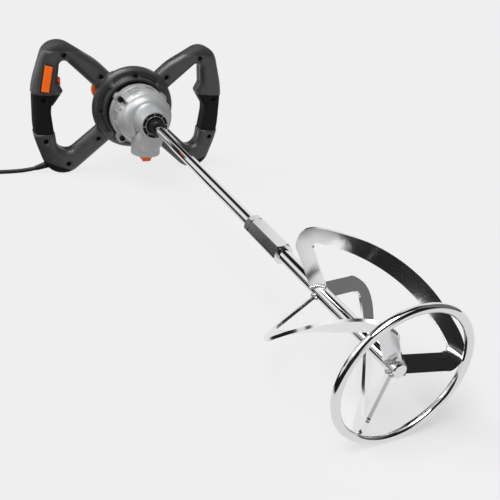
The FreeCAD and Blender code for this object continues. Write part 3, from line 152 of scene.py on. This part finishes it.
class Finish:
    """Nodes of a material or of the world, built up from values."""

    def __init__(self, name, tree=None):
        if tree is None:
            self.material = bpy.data.materials.new(name)
            self.material.use_nodes = True
            tree = self.material.node_tree
            self.shader = tree.nodes["Principled BSDF"]
        self.tree = tree

    def node(self, kind, settings=None, sockets=None, out=0):
        """Adds a node, applies its settings, then sets or links its sockets."""
        node = self.tree.nodes.new(kind)
        for key, value in (settings or {}).items():
            setattr(node, key, value)
        for key, value in (sockets or {}).items():
            self.put(node.inputs[key], value)
        return Value(self, node.outputs[out])

    def put(self, socket, value):
        """Links a value to a socket, or sets a number, vector or colour on it."""
        if isinstance(value, Value):
            self.tree.links.new(value.socket, socket)
        elif socket.type == "RGBA":
            socket.default_value = (*value, 1)
        else:
            socket.default_value = value

    def set(self, **sockets):
        """Sets the shader's sockets by name, with spaces for underscores."""
        for name, value in sockets.items():
            self.put(self.shader.inputs[name.replace("_", " ")], value)

    def maths(self, operation, first, second=0.0):
        return self.node("ShaderNodeMath", {"operation": operation}, {0: first, 1: second})

    def vector_maths(self, operation, first, second, out="Vector"):
        return self.node("ShaderNodeVectorMath", {"operation": operation}, {0: first, 1: second}, out)

    def ray_kinds(self):
        """Whether a ray comes from the camera, and whether it comes off a glossy surface."""
        return [self.node("ShaderNodeLightPath", out=kind) for kind in ("Is Camera Ray", "Is Glossy Ray")]

    def coordinates(self):
        return self.node("ShaderNodeTexCoord", out="Object")

    def parts(self, vector):
        return [self.node("ShaderNodeSeparateXYZ", {}, {0: vector}, out=axis) for axis in "XYZ"]

    def in_tool(self):
        """Object coordinates turned into the tool's axes, in metres."""
        moved = self.vector_maths("SUBTRACT", self.coordinates(), tool_origin)
        axes = (across, along, upward)
        return [self.vector_maths("DOT_PRODUCT", moved, axis, out="Value") for axis in axes]

    def noise(self, scale, detail=2.0, roughness=0.5, where=None):
        return self.node("ShaderNodeTexNoise", {}, {"Vector": where or self.coordinates(), "Scale": scale,
                                                    "Detail": detail, "Roughness": roughness})

    def spots(self, scale):
        return self.node("ShaderNodeTexVoronoi", {}, {"Vector": self.coordinates(), "Scale": scale})

    def mix(self, share, first, second):
        return self.node("ShaderNodeMix", {"data_type": "RGBA"},
                         {mix_share: share, mix_first: first, mix_second: second}, out=mix_result)

    def mottled(self, share, colour, darkest, lightest):
        """A colour that wanders between two tints of itself."""
        return self.mix(share, tinted(colour, darkest), tinted(colour, lightest))

    def smooth(self, value, low, high, to_low=0.0, to_high=1.0):
        """Goes smoothly from one number to another as a value rises from low to high."""
        return self.node("ShaderNodeMapRange", {"interpolation_type": "SMOOTHSTEP"},
                         {"Value": value, "From Min": low, "From Max": high,
                          "To Min": to_low, "To Max": to_high})

    def fade(self, value, low, high, full=1.0):
        """Goes smoothly down to nothing as a value rises from low to high."""
        return self.smooth(value, low, high, to_low=full, to_high=0.0)

    def bump(self, height, distance, strength, soften=0.0):
        """Raises the surface by a height, over edges softened by a radius in metres."""
        sockets = {"Strength": strength, "Distance": distance, "Height": height}
        if soften:
            sockets["Normal"] = self.node("ShaderNodeBevel", {"samples": edge_samples}, {"Radius": soften})
        self.set(Normal=self.node("ShaderNodeBump", {}, sockets))


# Finishes, with tints as shares of a finish's own colour

# Scuffs on plastic
scuff_tint = 1.6
scuff_share = 0.12
scuff_dulling = 0.06

# Parting line where the housing's halves meet: its soft edge in metres, and its depth in grain heights
seam_tint = 0.2
seam_edge = (0.0002, 0.0006)
seam_depth = 8.0

# Painted shade darkening the recess round the collar, in metres along and across the tool
recess_shade_tint = 0.15
recess_shade_share = 0.75
recess_shade_place = -0.0056
recess_shade_edge = (0.0003, 0.0012)
recess_shade_half_width = (0.066, 0.07)

# Polishing on plating: how the streaks are squeezed across and along the tool, and how far smears dull it
streaks_across = 60.0
streaks_along = 1.5
smear_dulling = 0.6


def moulded_plastic(name, colour, dull, grain=1400, seam=None, gloss=0.4, soften=0.0):
    """Mould grain, mottling and scuffs; with a seam, the parting line and painted shade in the collar's
    recess too.
    """
    finish = Finish(name)
    cloud = finish.noise(scale=28, detail=3.0)
    height = finish.noise(scale=grain, roughness=0.6)
    scuffs = finish.smooth(finish.noise(scale=160, detail=4.0, roughness=0.7), low=0.58, high=0.74)
    scuffed = [min(1, part) for part in tinted(colour, scuff_tint)]
    tone = finish.mottled(cloud, colour, darkest=0.82, lightest=1.16)
    tone = finish.mix(scuff_share * scuffs, tone, scuffed)
    if seam:
        x, y, _ = finish.in_tool()
        line = finish.fade(abs(y - seam), *seam_edge)
        tone = finish.mix(line, tone, tinted(colour, seam_tint))
        # Painted shade: a darker band on the recess floor round the collar
        painted_recess_shade = finish.fade(abs(y - recess_shade_place), *recess_shade_edge, full=recess_shade_share)
        painted_recess_shade = painted_recess_shade * finish.fade(abs(x), *recess_shade_half_width)
        tone = finish.mix(painted_recess_shade, tone, tinted(colour, recess_shade_tint))
        height = height - line * seam_depth
    finish.set(Base_Color=tone, Specular_IOR_Level=gloss,
               Roughness=dull + sway(cloud, amount=0.12) + scuff_dulling * scuffs)
    finish.bump(height, distance=0.00012, strength=0.35, soften=soften)
    return finish.material


def rubber(name, colour, dull=0.68, gloss=0.15):
    """Soft matt rubber with a fine leathery skin."""
    finish = Finish(name)
    cloud = finish.noise(scale=22, detail=3.0)
    skin = finish.spots(scale=900)
    tone = finish.mottled(cloud, colour, darkest=0.75, lightest=1.25)
    finish.set(Base_Color=tone, Roughness=dull + sway(cloud, amount=0.16), Specular_IOR_Level=gloss)
    finish.bump(skin, distance=0.00015, strength=0.3)
    return finish.material


def cast_metal(name, colour, dull=0.42, metal=0.4):
    """Shot-blasted die casting: fine pits, cloudy tone and faint flow marks."""
    finish = Finish(name)
    cloud = finish.noise(scale=40, detail=4.0, roughness=0.6)
    pits = finish.noise(scale=1300, detail=3.0, roughness=0.65)
    flow = finish.noise(scale=9)
    tone = finish.mottled(cloud, colour, darkest=0.86, lightest=1.1)
    tone = finish.mix(finish.fade(pits, low=0.3, high=0.5, full=0.25), tone, tinted(colour, share=0.5))
    finish.set(Base_Color=tone, Metallic=metal,
               Roughness=dull + sway(flow, amount=0.14) + sway(cloud, amount=0.1))
    finish.bump(pits, distance=0.0002, strength=0.3, soften=0.002)
    return finish.material


def plated_metal(name, colour, dull, streaks=0.02):
    """Bright plating or polished steel, with fine polishing streaks along the tool."""
    finish = Finish(name)
    x, y, z = finish.in_tool()
    stretched = finish.node("ShaderNodeCombineXYZ", {}, {"X": x * streaks_across, "Y": y * streaks_along,
                                                         "Z": z * streaks_across})
    lines = finish.noise(scale=28, detail=3.0, roughness=0.6, where=stretched)
    smears = finish.noise(scale=14)
    tone = finish.mottled(smears, colour, darkest=0.95, lightest=1.0)
    finish.set(Base_Color=tone, Metallic=1.0,
               Roughness=dull + streaks * lines + smear_dulling * streaks * smears)
    return finish.material


def worked_steel(name, colour, dull, metal=1.0):
    """Machined or blackened steel with a faint turned grain."""
    finish = Finish(name)
    cloud = finish.noise(scale=60, detail=3.0)
    fine = finish.noise(scale=900)
    tone = finish.mottled(cloud, colour, darkest=0.8, lightest=1.2)
    finish.set(Base_Color=tone, Metallic=metal, Roughness=dull + sway(fine, amount=0.12))
    finish.bump(fine, distance=0.00006, strength=0.2)
    return finish.material


finishes = {
    "housing_plastic": moulded_plastic("housing_plastic", (0.035, 0.035, 0.0363), dull=0.36, seam=0.018,
                                       gloss=0.6, soften=0.009),
    "inner_plastic": moulded_plastic("inner_plastic", (0.09, 0.09, 0.09), dull=0.5),
    "orange_plastic": moulded_plastic("orange_plastic", (0.96, 0.14, 0.002), dull=0.36, grain=2200,
                                      gloss=0.2, soften=0.002),
    "dark_orange_plastic": moulded_plastic("dark_orange_plastic", (0.7, 0.1, 0.002), dull=0.4, grain=2200,
                                           gloss=0.2),
    "red_plastic": moulded_plastic("red_plastic", (0.72, 0.045, 0.006), dull=0.36, grain=2200),
    "cord_sheath": moulded_plastic("cord_sheath", (0.012, 0.012, 0.012), dull=0.5, grain=2000),
    "black_rubber": rubber("black_rubber", (0.007, 0.007, 0.0072)),
    "bumper_rubber": rubber("bumper_rubber", (0.024, 0.024, 0.025), gloss=0.4),
    "case_metal": cast_metal("case_metal", (0.4, 0.405, 0.41)),
    "chrome": plated_metal("chrome", (0.8, 0.8, 0.81), dull=0.045),
    "blade_steel": plated_metal("blade_steel", (0.88, 0.88, 0.89), dull=0.12, streaks=0.04),
    "satin_plate": plated_metal("satin_plate", (0.84, 0.84, 0.85), dull=0.1, streaks=0.06),
    "weld_metal": worked_steel("weld_metal", (0.5, 0.5, 0.51), dull=0.34),
    "black_plate": worked_steel("black_plate", (0.006, 0.006, 0.006), dull=0.5, metal=0.2),
    "black_steel": worked_steel("black_steel", (0.012, 0.012, 0.012), dull=0.38, metal=0.5),
    "screw_steel": worked_steel("screw_steel", (0.03, 0.03, 0.03), dull=0.45),
    "gear_steel": worked_steel("gear_steel", (0.42, 0.42, 0.43), dull=0.32),
    "core_steel": worked_steel("core_steel", (0.2, 0.2, 0.21), dull=0.5),
    "copper": worked_steel("copper", (0.6, 0.26, 0.12), dull=0.35),
    "bronze": worked_steel("bronze", (0.5, 0.34, 0.16), dull=0.45),
}

node_finishes = {
    "housing_plastic": ["front_shell", "rear_shell", "motor_cap"],
    "black_rubber": ["left_grip", "right_grip", "lower_feet", "shaft_seal", "cable_grommet", "coil_tie"],
    "bumper_rubber": ["upper_bumpers"],
    "case_metal": ["gear_case"],
    "black_plate": ["bearing_plate"],
    "chrome": ["upper_shaft", "jam_nut", "coupling_nut", "paddle_shaft", "paddle_ring"],
    "blade_steel": ["blade_1", "blade_2", "blade_3"],
    "black_steel": ["spindle"],
    "screw_steel": ["handle_screws", "cap_screws", "gear_case_screws", "clamp_screw", "brush_springs"],
    "gear_steel": ["spindle_front_bearing", "layshaft_rear_bearing", "armature_front_bearing",
                   "armature_rear_bearing", "low_gear", "high_gear", "layshaft", "layshaft_gear",
                   "low_pinion", "high_pinion", "dog_sleeve", "armature_shaft"],
    "core_steel": ["armature_core", "stator_core"],
    "copper": ["armature_windings", "field_windings", "commutator"],
    "bronze": ["spindle_rear_bush", "layshaft_front_bush", "carbon_brushes"],
    "inner_plastic": ["fan", "brush_plate", "brush_holders", "switch_body", "speed_control", "cord_clamp"],
    "orange_plastic": ["trigger", "speed_dial"],
    "dark_orange_plastic": ["selector_knob"],
    "red_plastic": ["lock_button"],
    "cord_sheath": ["plug", "power_cord", "cord_coil", "cord_tail"],
}
for finish_name, node_names in node_finishes.items():
    for name in node_names:
        nodes[name].data.materials.clear()
        nodes[name].data.materials.append(finishes[finish_name])


# Pieces that the solids leave out, in millimetres on the tool's axes and degrees round the spindle

# Metres within which points merge, and radians past which an edge is eased
merge_distance = 1e-6
sharp_angle = 1.2


def piece(name, mesh, body, finish_name, slot_name, *replaced, crease=34):
    """Puts a finished shape in the scene, riding on a body, with edges past the crease angle left sharp."""
    bmesh.ops.remove_doubles(mesh, verts=mesh.verts, dist=merge_distance)
    bmesh.ops.recalc_face_normals(mesh, faces=mesh.faces)
    for face in mesh.faces:
        face.smooth = True
    data = bpy.data.meshes.new(name)
    mesh.to_mesh(data)
    mesh.free()
    data.set_sharp_from_angle(angle=math.radians(crease))
    data.materials.append(finishes[finish_name])
    thing = in_scene(name, data)
    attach(thing, body)
    if replaced:
        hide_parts(*replaced)


def spun(mesh, outline, start=0, stop=full_turn, steps=64, centre_x=0, centre_z=0):
    """Turns a closed outline of (radius, y) about an axis along the tool, between angles from X towards Z."""
    first = math.radians(start)
    corners = []
    for radius, y in outline:
        x = centre_x + radius * math.cos(first)
        z = centre_z + radius * math.sin(first)
        corners.append(mesh.verts.new(tool_point(x, y, z)))
    whole = stop - start == full_turn
    if whole:
        drawn = [mesh.edges.new(pair) for pair in zip(corners, corners[1:] + corners[:1])]
    else:
        face = mesh.faces.new(corners)
        drawn = [face, *face.edges]
    bmesh.ops.spin(mesh, geom=drawn + corners, cent=tool_point(centre_x, 0, centre_z), axis=-along,
                   angle=math.radians(stop - start), steps=steps, use_merge=whole)


def blunted(inner, outer, front, back, corner):
    """Closed outline of a ring with blunted front corners."""
    return [(inner, back), (outer, back), (outer, front + corner), (outer - corner, front),
            (inner + corner, front), (inner, front + corner)]


def eased(mesh, width):
    """Takes the sharpness off a shape's edges."""
    sharp = [edge for edge in mesh.edges if edge.calc_face_angle(0) > sharp_angle]
    bmesh.ops.bevel(mesh, geom=sharp, offset=width / mm_per_m, offset_type="OFFSET", affect="EDGES",
                    segments=2, profile=0.5, material=-1)


# Seal: black ring set in the nose, with a bright retaining ring and fine spokes
nose_end = -118.5
seal_outer = 20.4
star_back = nose_end + 1
spoke_count = 8
first_spoke = 5
spoke_half_width = 1.2

shape = bmesh.new()
spun(shape, blunted(inner=12.9, outer=seal_outer, front=nose_end - 0.3, back=nose_end + 2.3, corner=0.3))
piece("seal_face", shape, "housing", "black_rubber", "black_rubber")

shape = bmesh.new()
spun(shape, blunted(inner=14.6, outer=15.6, front=nose_end - 0.9, back=star_back, corner=0.25))
spoke = blunted(inner=15.3, outer=seal_outer + 0.3, front=nose_end - 0.7, back=star_back, corner=0.2)
for k in range(spoke_count):
    middle = first_spoke + full_turn / spoke_count * k
    spun(shape, spoke, start=middle - spoke_half_width, stop=middle + spoke_half_width, steps=2)
piece("seal_star", shape, "housing", "case_metal", "cast_aluminium")


# Nuts: turned on the thread until their flats stand as in the photograph
nut_turn = 9.5

for name in ("coupling_nut", "jam_nut"):
    shape = bmesh.new()
    shape.from_mesh(nodes[name].data)
    bmesh.ops.rotate(shape, verts=shape.verts, cent=tool_origin,
                     matrix=Matrix.Rotation(math.radians(-nut_turn), 3, along))
    piece(name + "_turned", shape, "spindle", "satin_plate", "chrome", name, crease=12)


# Welds: rippled beads where the blades meet the shaft
shaft_radius = 7.5
blade_count = 3
blade_radius = 63.5
blade_start = math.radians(113)
blade_twist = math.radians(113)
blade_top, blade_bottom = -609.0, -757.0
blade_corner_run = 19.0
hub_places = (-624.0, -744.0)
hub_depth = 1.5
bead_sides = (-1.9, 1.9)
bead_length = 16
bead_rise = 0.3
bead_radius = 1.9
bead_ripples = 9
ripple_squeeze = 0.75


def radial(angle):
    """Direction out from the spindle at an angle from X towards Z."""
    return Vector((math.cos(angle), 0, math.sin(angle)))


def level(y):
    """Step along the spindle."""
    return Vector((0, y, 0))


def ripple(mesh, place, way):
    """One frozen ripple of a weld bead, flattened along the bead."""
    turn = tool_matrix.to_3x3() @ way.to_track_quat("X", "Z").to_matrix()
    radius = bead_radius / mm_per_m
    size = Matrix.Diagonal((ripple_squeeze * radius, radius, radius, 1))
    bmesh.ops.create_icosphere(mesh, subdivisions=2, radius=1,
                               matrix=Matrix.Translation(tool_point(*place)) @ turn.to_4x4() @ size)


blade_fall = blade_bottom - blade_top
blade_sweep = blade_radius * blade_twist
edge_share = blade_corner_run / math.hypot(blade_sweep, blade_fall)

shape = bmesh.new()
for blade in range(blade_count):
    first = blade_start + math.tau / blade_count * blade
    for hub_y, share, side in zip(hub_places, (edge_share, 1 - edge_share), (-1, 1)):
        angle = first - blade_twist * share
        sideways = Vector((math.sin(angle), 0, -math.cos(angle)))
        band_way = (sideways * blade_sweep + level(blade_fall)).normalized()
        corner = radial(angle) * blade_radius + level(blade_top + blade_fall * share)
        corner = corner + side * blade_corner_run * band_way
        hub = radial(math.atan2(corner.z, corner.x)) * (shaft_radius - hub_depth) + level(hub_y)
        arm = (corner - hub).normalized()
        flat = arm.cross(band_way).normalized()
        wide = arm.cross(flat)
        for lift in bead_sides:
            for k in range(bead_ripples):
                run = bead_length * (k / (bead_ripples - 1) - 0.5)
                place = hub + wide * run + flat * lift
                skin = Vector((place.x, 0, place.z)).normalized() * (shaft_radius + bead_rise)
                ripple(shape, (skin.x, place.y, skin.z), wide)
piece("hub_welds", shape, "spindle", "weld_metal", "chrome")


# Gear case: pads and ledges cast on its shoulder, and the rounded ridge round its nose
pad_angles = ((66, 106), (111, 124), (160, 166))
pad_outlines = (
    blunted(inner=38, outer=42.6, front=-61, back=-54, corner=0.8),
    blunted(inner=37, outer=42.4, front=-70, back=-56, corner=0.8),
    blunted(inner=38, outer=46.2, front=-70, back=-43, corner=0.8),
)
ridge_outline = [(26, -80), (41, -70), (41.5, -74), (39.6, -79), (37.2, -83.2), (34.2, -86.4), (30.8, -88.3),
                 (27.6, -88.9), (26, -88.9)]

shape = bmesh.new()
for outline, (start, stop) in zip(pad_outlines, pad_angles):
    spun(shape, outline, start, stop, steps=16)
eased(shape, width=0.5)
piece("case_pads", shape, "housing", "case_metal", "cast_aluminium")

shape = bmesh.new()
spun(shape, ridge_outline, start=-24, stop=218, steps=72, centre_z=-4)
piece("nose_ridge", shape, "housing", "case_metal", "cast_aluminium", crease=60)


# Collar: black ring round the gear case over the rim's inner part, the raised rim round that, its lugs, and a
# black disc as painted shade in a screw hole
collar_z = -6.7
collar_steps = 96
lug_steps = 24
rim_outline = [(51.4, -12), (55.5, -12), (55.3, -14.6), (54.4, -16.4), (53, -17.2), (51.6, -16.6)]

# Black ring round the gear case, laid over the rim's inner part
shape = bmesh.new()
spun(shape, blunted(inner=41.8, outer=51.6, front=-18.1, back=-16.0, corner=0.3), steps=collar_steps,
     centre_z=collar_z)
piece("case_black_ring", shape, "housing", "black_rubber", "black_rubber")

shape = bmesh.new()
spun(shape, rim_outline, steps=collar_steps, centre_z=collar_z)
piece("collar_rim", shape, "housing", "housing_plastic", "dark_plastic", crease=80)

shape = bmesh.new()
spun(shape, blunted(inner=1.9, outer=3.5, front=-16.9, back=-11.0, corner=0.5), steps=lug_steps,
     centre_x=-54.4, centre_z=-12.6)
spun(shape, blunted(inner=0.6, outer=2.9, front=-18.4, back=-14.0, corner=0.6), steps=lug_steps,
     centre_x=4.4, centre_z=45.9)
piece("collar_lugs", shape, "housing", "housing_plastic", "dark_plastic")

# Painted shade: a thin black disc that stands for the dark inside of a screw hole
shape = bmesh.new()
spun(shape, blunted(inner=0.2, outer=3.1, front=-6.2, back=-5.2, corner=0.2), steps=lug_steps,
     centre_x=-58.6, centre_z=-9.6)
piece("collar_hole_shade_disc", shape, "housing", "black_rubber", "black_rubber")


# Trigger: raised frame round its slot
trigger_place = (-144.4, -0.7, 41.7)
trigger_lean = math.radians(9.7)
slot_width, slot_length = 12.9, 42.6
frame_width = 1.3
frame_depth = 1.6

wide_way = tool_way(math.cos(trigger_lean), 0, -math.sin(trigger_lean))
long_way = tool_way(math.sin(trigger_lean), 0, math.cos(trigger_lean))
wide_side = wide_way * ((slot_width + 2 * frame_width) / mm_per_m)
long_side = long_way * ((slot_length + 2 * frame_width) / mm_per_m)

shape = bmesh.new()
bmesh.ops.create_grid(shape, x_segments=1, y_segments=1, size=0.5,
                      matrix=placing(wide_side, long_side, along, tool_point(*trigger_place)))
opening = shape.faces[:]
bmesh.ops.inset_region(shape, faces=opening, thickness=frame_width / mm_per_m, depth=0, use_boundary=True,
                       use_even_offset=True)
bmesh.ops.delete(shape, geom=opening, context="FACES")
raised = bmesh.ops.extrude_face_region(shape, geom=shape.faces[:])
moved = [part for part in raised["geom"] if isinstance(part, bmesh.types.BMVert)]
bmesh.ops.translate(shape, verts=moved, vec=along * (frame_depth / mm_per_m))
eased(shape, width=0.4)
piece("trigger_frame", shape, "housing", "housing_plastic", "dark_plastic")


# Cord, in millimetres on the frame's axes: out of the handle, over the floor, wound inwards and out again
# in a tied coil, then to the plug
cord_radius = 3.5
coil_turns = 4
coil_pitch = 8.7
coil_inner_radius = 28.6
coil_floor = 4.6
coil_steps = 24

cord_route = [(-136.1, 354.56, 17.83), (-158.66, 355.14, 9.64), (-178.66, 356.14, 5.55),
              (-200.66, 358.14, 3.55), (-238.66, 359.14, 3.55), (-283.66, 343.14, 3.55),
              (-356.66, 311.14, 4.6), (-405.66, 311.14, 4.6)]
tail_route = [(-439.66, 315.49, 13.3), (-463.66, 316.99, 9.2), (-487.66, 318.99, 7.0), (-509.66, 319.99, 7.0)]

coil_x = -412.66
coil_y = cord_route[-1][1] + coil_inner_radius + (coil_turns - 0.5) * coil_pitch
inward_halves = 2 * coil_turns - 1
all_halves = 2 * inward_halves
coil_points = []
for step in range(all_halves * coil_steps // 2 + 1):
    halves = step * 2 / coil_steps
    inside = min(halves, inward_halves)
    outside = max(0, halves - inward_halves - 1)
    climb = min(1, max(0, halves - inward_halves))
    radius = coil_inner_radius + coil_pitch / 2 * (inward_halves - inside + outside)
    angle = -math.pi / 2 - math.pi * halves
    coil_points.append((coil_x + radius * math.cos(angle), coil_y + radius * math.sin(angle),
                        coil_floor + coil_pitch * climb))

cord_points = cord_route + coil_points + tail_route
cord_curve = bpy.data.curves.new("power_cord_run", "CURVE")
cord_curve.dimensions = "3D"
cord_curve.bevel_depth = cord_radius / mm_per_m
cord_curve.bevel_resolution = 4
cord_curve.resolution_u = 6
cord_curve.use_fill_caps = True
spline = cord_curve.splines.new("NURBS")
spline.points.add(len(cord_points) - 1)
for point, (x, y, z) in zip(spline.points, cord_points):
    point.co = (x / mm_per_m, y / mm_per_m, z / mm_per_m, 1)
spline.order_u = 3
spline.use_endpoint_u = True
cord = in_scene("power_cord_run", cord_curve)
cord_curve.materials.append(finishes["cord_sheath"])
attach(cord, "housing")
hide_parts("power_cord", "cord_coil", "cord_tail")


# Strain relief: ribbed, tapering sleeve that follows the cord out of the handle
sleeve_start = 6
sleeve_length = 26
sleeve_radii = (6.6, 4.3)
sleeve_sides = 24
followed_length = 34
rib_count = 7
rib_steps = 4
rib_groove = 0.7

line_curve = cord_curve.copy()
line_curve.bevel_depth = 0
line_object = bpy.data.objects.new("cord_line", line_curve)
line_mesh = bpy.data.meshes.new_from_object(line_object)
line_places = [vertex.co.copy() for vertex in line_mesh.vertices]
bpy.data.objects.remove(line_object)
bpy.data.curves.remove(line_curve)
bpy.data.meshes.remove(line_mesh)

cord_line = []
run = 0.0
for here, after in zip(line_places, line_places[1:]):
    cord_line.append((run, here, (after - here).normalized()))
    run += (after - here).length * mm_per_m
    if run > followed_length:
        break


def on_line(distance):
    """Place and direction on the cord, at a distance from its start."""
    for (before, here, way), (later, there, next_way) in zip(cord_line, cord_line[1:]):
        if distance <= later:
            share = (distance - before) / (later - before)
            return here.lerp(there, share), way.lerp(next_way, share).normalized()
    return cord_line[-1][1], cord_line[-1][2]


sleeve_steps = rib_count * rib_steps
shape = bmesh.new()
sections = []
for step in range(sleeve_steps + 1):
    share = step / sleeve_steps
    middle, way = on_line(sleeve_start + share * sleeve_length)
    radius = sleeve_radii[0] + (sleeve_radii[1] - sleeve_radii[0]) * share
    if step % rib_steps >= rib_steps / 2:
        radius -= rib_groove
    turn = way.to_track_quat("Z", "Y").to_matrix().to_4x4()
    ring = bmesh.ops.create_circle(shape, cap_ends=step in (0, sleeve_steps), segments=sleeve_sides,
                                   radius=radius / mm_per_m, matrix=Matrix.Translation(middle) @ turn)
    sections.append(list(dict.fromkeys(edge for vertex in ring["verts"] for edge in vertex.link_edges)))
for first, second in zip(sections, sections[1:]):
    bmesh.ops.bridge_loops(shape, edges=first + second)
piece("cord_sleeve", shape, "housing", "cord_sheath", "black_rubber")


# Studio, in metres, with bearings from east (X) towards north (Y) and elevations in degrees
def grey(tone):
    return (tone, tone, tone)


background = grey(0.863)
mirrored_dark = grey(0.012)
mirrored_floor = grey(0.84)
mirrored_wall = grey(0.95)
floor_tone = grey(0.62)
fill_tones = grey(0.14), grey(0.62)
fill_way = (-0.3, -0.9, 0.25)
fill_range = (-0.2, 0.9)

# Floor: half its size, and the share of plain background by the distance from the shadow under the paddle
floor_half = 14
shadow_place = (0.2, -0.52)
shadow_distances = (0.12, 0.32)
shadow_shares = (0.35, 0.92)

# Floor that mirrors dark, painted shade that shows only in reflections: a sector beyond a distance from its
# tip, and patches as (low, high, softness)
sector_tip = (0.0, -0.06)
sector_bearings = (108, 150, 3)
sector_distances = (0.22, 0.28)
painted_shade_patches = (
    {"east": (-9.0, -0.168, 0.015), "north": (-9.0, -0.26, 0.02)},
    {"east": (-0.33, -0.075, 0.01), "north": (-0.31, 0.1, 0.02)},
)

# Walls that mirror pale: first and last bearing, lowest and highest elevation
wall_softness = 6
left_wall = (107, 176, -40, 34)
right_wall = (20, 72, -40, 46)
left_panel = (176, 193, 14, 56)
front_panel = (246, 282, -20, 20)
ceiling = (110, 320, 58, 95)

# Gap low in the left wall, and grey haze on the bearings outside a clear span
low_gap_bearings = (125, 150, 3)
low_gap_top = (2, 6)
clear_bearings = (16, 322, 8)
haze_elevations = (3, 62, 6)
haze_tone = 0.17

degrees = 180 / math.pi


def span(finish, value, low, high, soft):
    """One between two values and nothing outside them, with soft edges."""
    return finish.smooth(value, low - soft, low + soft) * finish.fade(value, high - soft, high + soft)


def bearing(finish, east, north):
    """Bearing from east towards north, from 0 to 360 degrees."""
    return finish.maths("ARCTAN2", north * -1.0, east * -1.0) * degrees + full_turn / 2


def from_place(east, north, place):
    """Steps east and north from a place, and the distance from it."""
    x, y = east - place[0], north - place[1]
    return x, y, (x * x + y * y) ** 0.5


def studio_floor():
    """Pale floor that shows as the background, keeps a faint shadow and shows in the plating with painted
    dark shade.
    """
    mesh = bmesh.new()
    bmesh.ops.create_grid(mesh, x_segments=1, y_segments=1, size=floor_half)
    data = bpy.data.meshes.new("studio_floor")
    mesh.to_mesh(data)
    mesh.free()
    finish = Finish("studio_floor")
    data.materials.append(finish.material)
    in_scene("studio_floor", data)

    finish.set(Base_Color=floor_tone, Roughness=0.9, Specular_IOR_Level=0.0)
    seen, mirrored = finish.ray_kinds()
    east, north, _ = finish.parts(finish.coordinates())
    x, y, distance = from_place(east, north, sector_tip)
    # Painted shade seen only in reflections: the dark sector and patches on the floor
    gap = span(finish, bearing(finish, x, y), *sector_bearings) * finish.smooth(distance, *sector_distances)
    for patch in painted_shade_patches:
        gap = gap + span(finish, east, *patch["east"]) * span(finish, north, *patch["north"])
    gap = finish.maths("MINIMUM", gap, 1.0)
    shown = finish.mix(mirrored, background, finish.mix(gap, mirrored_floor, mirrored_dark))
    glow = finish.node("ShaderNodeEmission", {}, {"Color": shown, "Strength": 1.0})

    _, _, distance = from_place(east, north, shadow_place)
    share = seen * finish.smooth(distance, *shadow_distances, *shadow_shares) + mirrored
    lit = Value(finish, finish.shader.outputs["BSDF"])
    both = finish.node("ShaderNodeMixShader", {}, {0: share, 1: lit, 2: glow})
    finish.put(finish.tree.nodes["Material Output"].inputs["Surface"], both)


def studio_world():
    """Soft light, fuller from the front, with dark gaps between pale walls for the plating to mirror."""
    world = bpy.data.worlds.new("studio")
    bpy.context.scene.world = world
    world.use_nodes = True
    sky = Finish("studio", world.node_tree)
    east, north, height = sky.parts(sky.node("ShaderNodeTexCoord", out="Generated"))
    turned = bearing(sky, east, north)
    raised = sky.maths("ARCSINE", height) * degrees

    def wall(first, last, low, high):
        return span(sky, turned, first, last, wall_softness) * span(sky, raised, low, high, wall_softness)

    low_gap = span(sky, turned, *low_gap_bearings) * sky.fade(raised, *low_gap_top)
    pale = wall(*left_wall) * (1 - low_gap)
    for other in (right_wall, left_panel, front_panel, ceiling):
        pale = pale + wall(*other)
    pale = pale + haze_tone * (1 - span(sky, turned, *clear_bearings)) * span(sky, raised, *haze_elevations)
    mirrored_sky = sky.mix(pale, mirrored_dark, mirrored_wall)

    facing = north * fill_way[1] + east * fill_way[0] + height * fill_way[2]
    fill = sky.mix(sky.smooth(facing, *fill_range), *fill_tones)
    seen, mirrored = sky.ray_kinds()
    light = sky.mix(mirrored, fill, mirrored_sky)
    back = world.node_tree.nodes["Background"]
    sky.put(back.inputs["Color"], sky.mix(seen, light, background))
    sky.put(back.inputs["Strength"], 1.0)


def soft_sun(name, source, width, strength):
    """Broad even light from a source's direction."""
    data = bpy.data.lights.new(name, "SUN")
    data.energy = strength
    data.angle = math.radians(width)
    lamp = in_scene(name, data)
    lamp.rotation_euler = (-Vector(source)).to_track_quat("-Z", "Y").to_euler()


studio_floor()
studio_world()
soft_sun("key_light", source=(-0.35, -0.2, 1.0), width=40, strength=3.1)
soft_sun("side_light", source=(-0.894, 0.432, 0.6), width=30, strength=1.1)

bpy.context.scene.view_settings.view_transform = "Standard"
